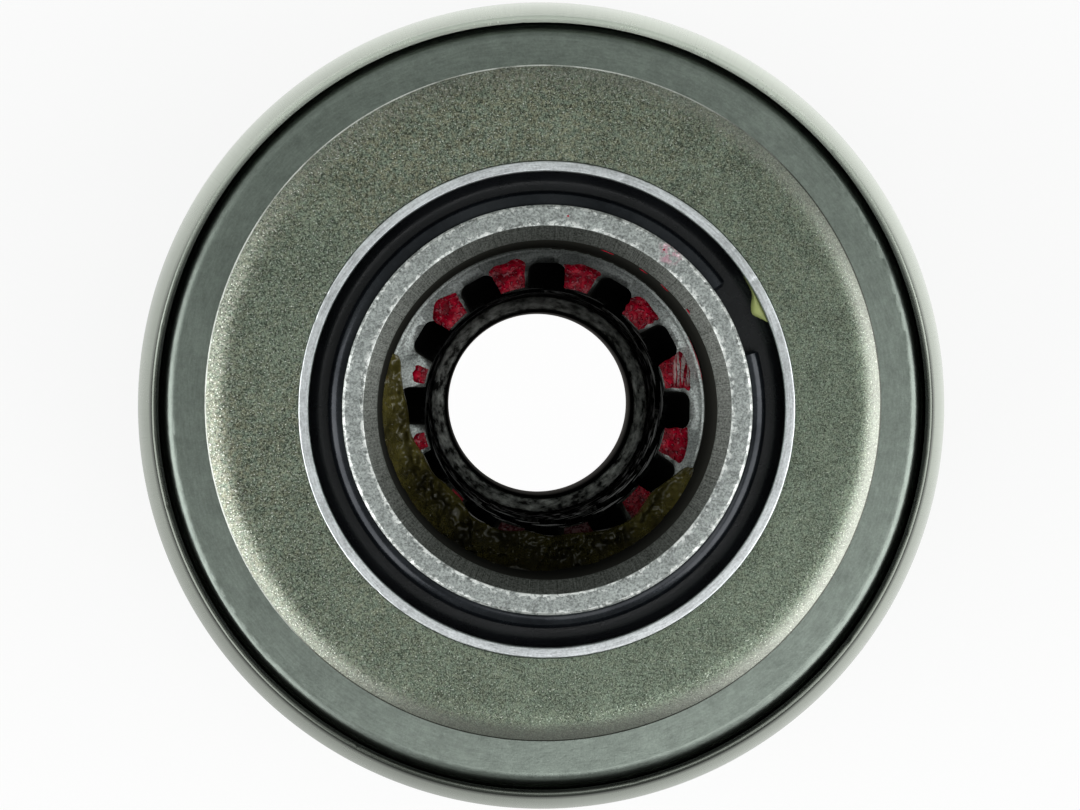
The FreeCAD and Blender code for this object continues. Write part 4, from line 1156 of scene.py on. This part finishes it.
class STARTER_OT_marks(bpy.types.Operator):
    """Red marking paint on the lands of the spline, with a few stray drops"""

    bl_idname = "starter.marks"
    bl_label = "Marking paint"

    def execute(self, context):
        sizes = context.scene.starter_sizes
        floor = sizes.floor_height
        material = gloss_paint("marking_paint", context.scene.starter_colours.paint, floor)
        chance = np.random.default_rng(5)
        across = np.linspace(-1, 1, 61)[None, :]
        out = np.linspace(0, 1, 45)[:, None]
        half_lane = TURN / SLOT_COUNT / 2
        for number in range(SLOT_COUNT):
            heading = half_lane * (1 + 2 * number)
            worn = number in (5, 6, 7)
            reach = (0.50 if worn else 1.0) + chance.uniform(-0.04, 0.08)
            wide = (0.62 if worn else 1.0) * chance.uniform(0.97, 1.0)
            first = sizes.slot_minor + (0.06 + chance.uniform(0.0, 0.10)) * MM
            last = sizes.slot_major + 0.15 * MM
            edge = ripple(across * 1.4 + number, 80 + number, 5, 1) * 0.06
            edge = edge - across**2 * 0.10 - across**6 * 0.14
            radius = first + (last - first) * out * (reach + edge)
            lane = half_lane - np.arcsin(sizes.slot_width / 2 / radius)
            lane = lane * wide + math.radians(2.2) * np.clip((radius / MM - 9.50) / 0.35, 0, 1)
            side = across + ripple(out * 3.0 + number, 120 + number, 5, 1) * 0.025
            angle = heading + side * (lane - 0.02 * MM / radius)
            top = (1 - across**4) * (1 - (2 * out - 1) ** 4)
            lumps = 0.5 + 0.5 * waves(radius * np.cos(angle) / MM, radius * np.sin(angle) / MM,
                                      160 + number, 14, 0.8)
            points = about_axis(radius, angle, floor + (0.06 + 0.05 * lumps) * top * MM)
            piece = surface("red_mark_%02d" % number, slab(points, floor - 0.02 * MM),
                            wrap_rows=False, capped=True)
            settle(piece, "drive_sleeve", material, replaced=False)
        self.drops(material)
        return {"FINISHED"}

    def drops(self, material):
        """Flat half-sunk drops of paint: (angle in degrees, radius, height, length, width) in mm.

        A drop lies flat on the sleeve's end or against the counterbore's wall.
        """
        places = ((109, 10.86, 56.9, 0.45, 0.16), (69, 10.80, 55.6, 0.5, 0.14),
                  (55, 10.80, 55.6, 0.3, 0.16), (46, 10.80, 56.3, 0.35, 0.16),
                  (35, 10.92, 57.2, 0.22, 0.14), (84, 12.35, 58.0, 0.16, 0.13),
                  (54, 12.55, 58.0, 0.14, 0.12), (18, 10.72, 44.5, 1.6, 0.5))
        around = circle(28)[:, None]
        down = np.linspace(0, math.pi, 15)[None, :]
        for number, (heading, radius, height, long, wide) in enumerate(places):
            size = 1 + 0.16 * ripple(around, 200 + number, 5)
            level = height >= SLEEVE_HIGH.z / MM
            flat = 0.035 * np.cos(down)
            along = long * size * np.sin(down) * np.cos(around)
            other = wide * size * np.sin(down) * np.sin(around)
            reach = radius + (other if level else flat)
            rise = height + (flat - 0.03 if level else other)
            angle = math.radians(heading) + along / radius
            points = about_axis(reach, angle, rise) * MM
            piece = surface("red_drop_%02d" % number, points, wrap_columns=False)
            weld(piece)
            settle(piece, "drive_sleeve", material, replaced=False)


class STARTER_OT_grease(bpy.types.Operator):
    """Old grease in the counterbore and a fresh smear behind the cup's rim"""

    bl_idname = "starter.grease"
    bl_label = "Grease"

    def execute(self, context):
        sizes = context.scene.starter_sizes
        colours = context.scene.starter_colours
        self.old(sizes, grease_finish("old_grease", colours.grease, dark=0.30))
        self.smear(sizes, grease_finish("fresh_grease", colours.fresh_grease, dark=0.75))
        return {"FINISHED"}

    def old(self, sizes, material):
        """Height over the floor: a fillet that climbs the wall, plus lumps.

        A low height h is lifted smoothly above the floor as (h + sqrt(h^2 + 0.12)) / 2, in mm.
        """
        angle = np.radians(np.linspace(*OLD_GREASE_ENDS, 420))[:, None]
        share = np.linspace(0, 1, 420)[:, None]
        ends = np.clip(np.sin(np.pi * share), 0, 1) ** 0.3
        wall = sizes.counterbore / MM
        inner = 8.9 - 0.55 * np.exp(-((share - 0.30) / 0.16) ** 2) - 0.35 * np.exp(
            -((share - 0.62) / 0.2) ** 2) + 0.25 * ripple(angle, 63, 14, 5)
        inner = wall - (wall - np.maximum(inner, 8.2)) * ends
        out = np.linspace(0, 1, 44)[None, :]
        radius = inner + (wall + 0.02 - inner) * out
        flat_x, flat_y = radius * np.cos(angle), radius * np.sin(angle)
        climb = (1.5 + 0.8 * ripple(angle, 61, 14, 3)) * np.clip(out - 0.45, 0, 1) ** 2 * 4.2
        lumps = 0.50 * waves(flat_x, flat_y, 64, 22, 1.5) + 0.24 * waves(flat_x, flat_y, 65, 22, 0.6)
        height = (0.36 + climb + lumps * (0.55 + 0.5 * out)) * ends
        skirt = np.clip(out / 0.10, 0, 1) ** 0.5
        height = np.minimum((height + np.sqrt(height**2 + 0.12)) / 2 + 0.02, 3.2) * skirt
        lumpy = radius - 0.10 * waves(angle * wall, height, 66, 16, 0.9) * out * (1 - out) * 2
        floor = sizes.floor_height / MM
        points = slab(about_axis(lumpy, angle, floor + height), floor - 0.09) * MM
        piece = surface("old_grease", points, wrap_rows=False, capped=True)
        settle(piece, "drive_sleeve", material, replaced=False)

    def smear(self, sizes, material):
        """Wedge of grease against the cup's wall, widest below its middle.

        Its section is an ellipse whose width and height change along the wall.
        """
        angle = np.radians(np.linspace(*SMEAR_ENDS, 90))[:, None]
        share = np.linspace(0, 1, 90)[:, None]
        around = circle(40)[None, :]
        wall = (CUP_HIGH.x - sizes.cup_wall) / MM + 0.03
        wide = (0.10 + 0.80 * np.exp(-((share - 0.28) / 0.24) ** 2)) * np.clip(
            np.sin(np.pi * share), 0, 1) ** 0.45
        wide = wide * (1 + 0.10 * ripple(angle * 6, 72, 6, 2))
        tall = 0.22 + 0.42 * np.clip(np.sin(np.pi * share), 0, 1)
        lump = 1 + 0.04 * waves(angle * 30, np.cos(around) * 0.8, 73, 12, 1.6)
        radius = wall - wide * lump * (0.5 - 0.5 * np.cos(around))
        height = CUP_HIGH.z / MM - 0.55 + 0.5 * tall * np.sin(around) * lump - 0.3 * (wall - radius)
        points = about_axis(radius, angle, height) * MM
        piece = surface("fresh_grease", points, wrap_rows=False, capped=True)
        settle(piece, "retainer_cup", material, replaced=False)


class STARTER_OT_studio(bpy.types.Operator):
    """Pale floor, soft lights and the camera"""

    bl_idname = "starter.studio"
    bl_label = "Studio"

    def execute(self, context):
        scene = context.scene
        settings = scene.starter_studio
        scene.view_settings.view_transform = "Standard"
        self.floor()
        self.world(scene)
        for name, place, wide, tall in SOFTBOXES:
            power = settings.low_light if name == "low_light" else settings.side_light
            self.softbox(name, place, power, wide, tall)
        camera = bpy.data.cameras.new("camera")
        camera.lens = settings.lens
        camera.clip_start = 0.01
        made = bpy.data.objects.new("camera", camera)
        scene.collection.objects.link(made)
        place = Vector(settings.camera_place)
        forward = (Vector(settings.camera_aim) - place).normalized()
        right = forward.cross(Vector((0, 1, 0))).normalized()
        upward = right.cross(forward)
        made.matrix_world = Matrix((
            (right.x, upward.x, -forward.x, place.x), (right.y, upward.y, -forward.y, place.y),
            (right.z, upward.z, -forward.z, place.z), (0, 0, 0, 1)))
        scene.camera = made
        return {"FINISHED"}

    def floor(self):
        """Flat pale floor, white to the camera but for a soft shadow round the object.

        In reflections it glows as painted light, brightest near the axis and towards +X and +Y, fading
        with its distance from the axis, with a painted shadow under the object.
        """
        side = np.linspace(-FLOOR_REACH, FLOOR_REACH, 5)
        points = np.stack(np.meshgrid(side, side, [FLOOR_LEVEL], indexing="ij"), -1)[:, :, 0]
        piece = surface("floor", points, wrap_rows=False, wrap_columns=False)
        shader, where = new_shader("pale_floor")
        direct = shader.node("ShaderNodeLightPath")
        glossy = Term(shader, direct.socket.node.outputs["Is Glossy Ray"])
        across, along, radius = polar(shader, where)[:3]
        # Painted light and shadow for reflections: the glow is brightest near the axis and towards +X
        # and +Y, and darkened under the object as a painted shadow.
        near = (radius / -0.052).math("EXPONENT")
        brighter_side_glow = along * 0.27 * (radius / -0.3).math("EXPONENT") + across * near * 0.36
        painted_glow = (near * 1.38 + brighter_side_glow + 0.16) * (radius.above(20 * MM, 8 * MM) * 0.88 + 0.12)
        level = direct + (1.0 - direct) * painted_glow.held(0.06)
        shadow = radius.above(14 * MM, 12 * MM) * (radius / -0.09).math("EXPONENT") * 0.24
        seen = direct * (FLOOR_GLOW - shadow) + (1.0 - direct) * glossy * FLOOR_GLOW
        matt = shader.node("ShaderNodeBsdfDiffuse", values={0: (0.86, 0.86, 0.86, 1)})
        glow = shader.node("ShaderNodeEmission", values={0: (1.0, 1.0, 1.0, 1), 1: level})
        mixed = shader.node("ShaderNodeMixShader", values={0: seen, 1: matt, 2: glow})
        shader.node("ShaderNodeOutputMaterial", values={"Surface": mixed})
        piece.data.materials.append(shader.owner)

    def world(self, scene):
        """Soft room: white to the camera, and else brighter at the sides and above the picture."""
        scene.world = bpy.data.worlds.new("room")
        shader = Shader(scene.world)
        direct = shader.node("ShaderNodeLightPath")
        across, along = shader.parts(shader.node("ShaderNodeTexCoord", output=0))[:2]
        glow = 0.30 + across * across * 0.18 + along.held(-0.06, 0.14) * 0.8
        room = shader.node("ShaderNodeBackground", values={0: (0.95, 1.0, 0.965, 1), 1: glow})
        white = shader.node("ShaderNodeBackground", values={0: (1, 1, 1, 1), 1: 1.0})
        mixed = shader.node("ShaderNodeMixShader", values={0: direct, 1: room, 2: white})
        shader.node("ShaderNodeOutputWorld", values={"Surface": mixed})

    def softbox(self, name, place, power, wide, tall):
        """Area light that faces the object."""
        light = bpy.data.lights.new(name, "AREA")
        light.energy = power
        light.shape = "RECTANGLE"
        light.size = wide
        light.size_y = tall
        made = bpy.data.objects.new(name, light)
        bpy.context.scene.collection.objects.link(made)
        made.location = place
        made.visible_camera = False
        aim = Vector(LIGHT_AIM) - Vector(place)
        made.rotation_euler = aim.to_track_quat("-Z", "Y").to_euler()


PIECES = (STARTER_OT_sleeve, STARTER_OT_shell, STARTER_OT_collar, STARTER_OT_cup,
          STARTER_OT_snap_ring, STARTER_OT_meshing_spring, STARTER_OT_washer,
          STARTER_OT_pinion, STARTER_OT_inner, STARTER_OT_marks, STARTER_OT_grease,
          STARTER_OT_studio)


class STARTER_PT_panel(bpy.types.Panel):
    """Lists the pieces of the starter drive"""

    bl_idname = "STARTER_PT_panel"
    bl_label = "Starter drive"
    bl_space_type = "VIEW_3D"
    bl_region_type = "UI"
    bl_category = "Starter drive"

    def draw(self, context):
        for piece in PIECES:
            self.layout.operator(piece.bl_idname)


CLASSES = (DriveSizes, DriveColours, StudioSettings) + PIECES + (STARTER_PT_panel,)


def register():
    """Add the classes and hang the settings on the scene."""
    for item in CLASSES:
        bpy.utils.register_class(item)
    bpy.types.Scene.starter_sizes = bpy.props.PointerProperty(type=DriveSizes)
    bpy.types.Scene.starter_colours = bpy.props.PointerProperty(type=DriveColours)
    bpy.types.Scene.starter_studio = bpy.props.PointerProperty(type=StudioSettings)


def unregister():
    """Take the settings and the classes away again."""
    del bpy.types.Scene.starter_sizes
    del bpy.types.Scene.starter_colours
    del bpy.types.Scene.starter_studio
    for item in reversed(CLASSES):
        bpy.utils.unregister_class(item)


def main():
    register()
    for piece in PIECES:
        group, name = piece.bl_idname.split(".")
        getattr(getattr(bpy.ops, group), name)()


if __name__ == "__main__":
    main()
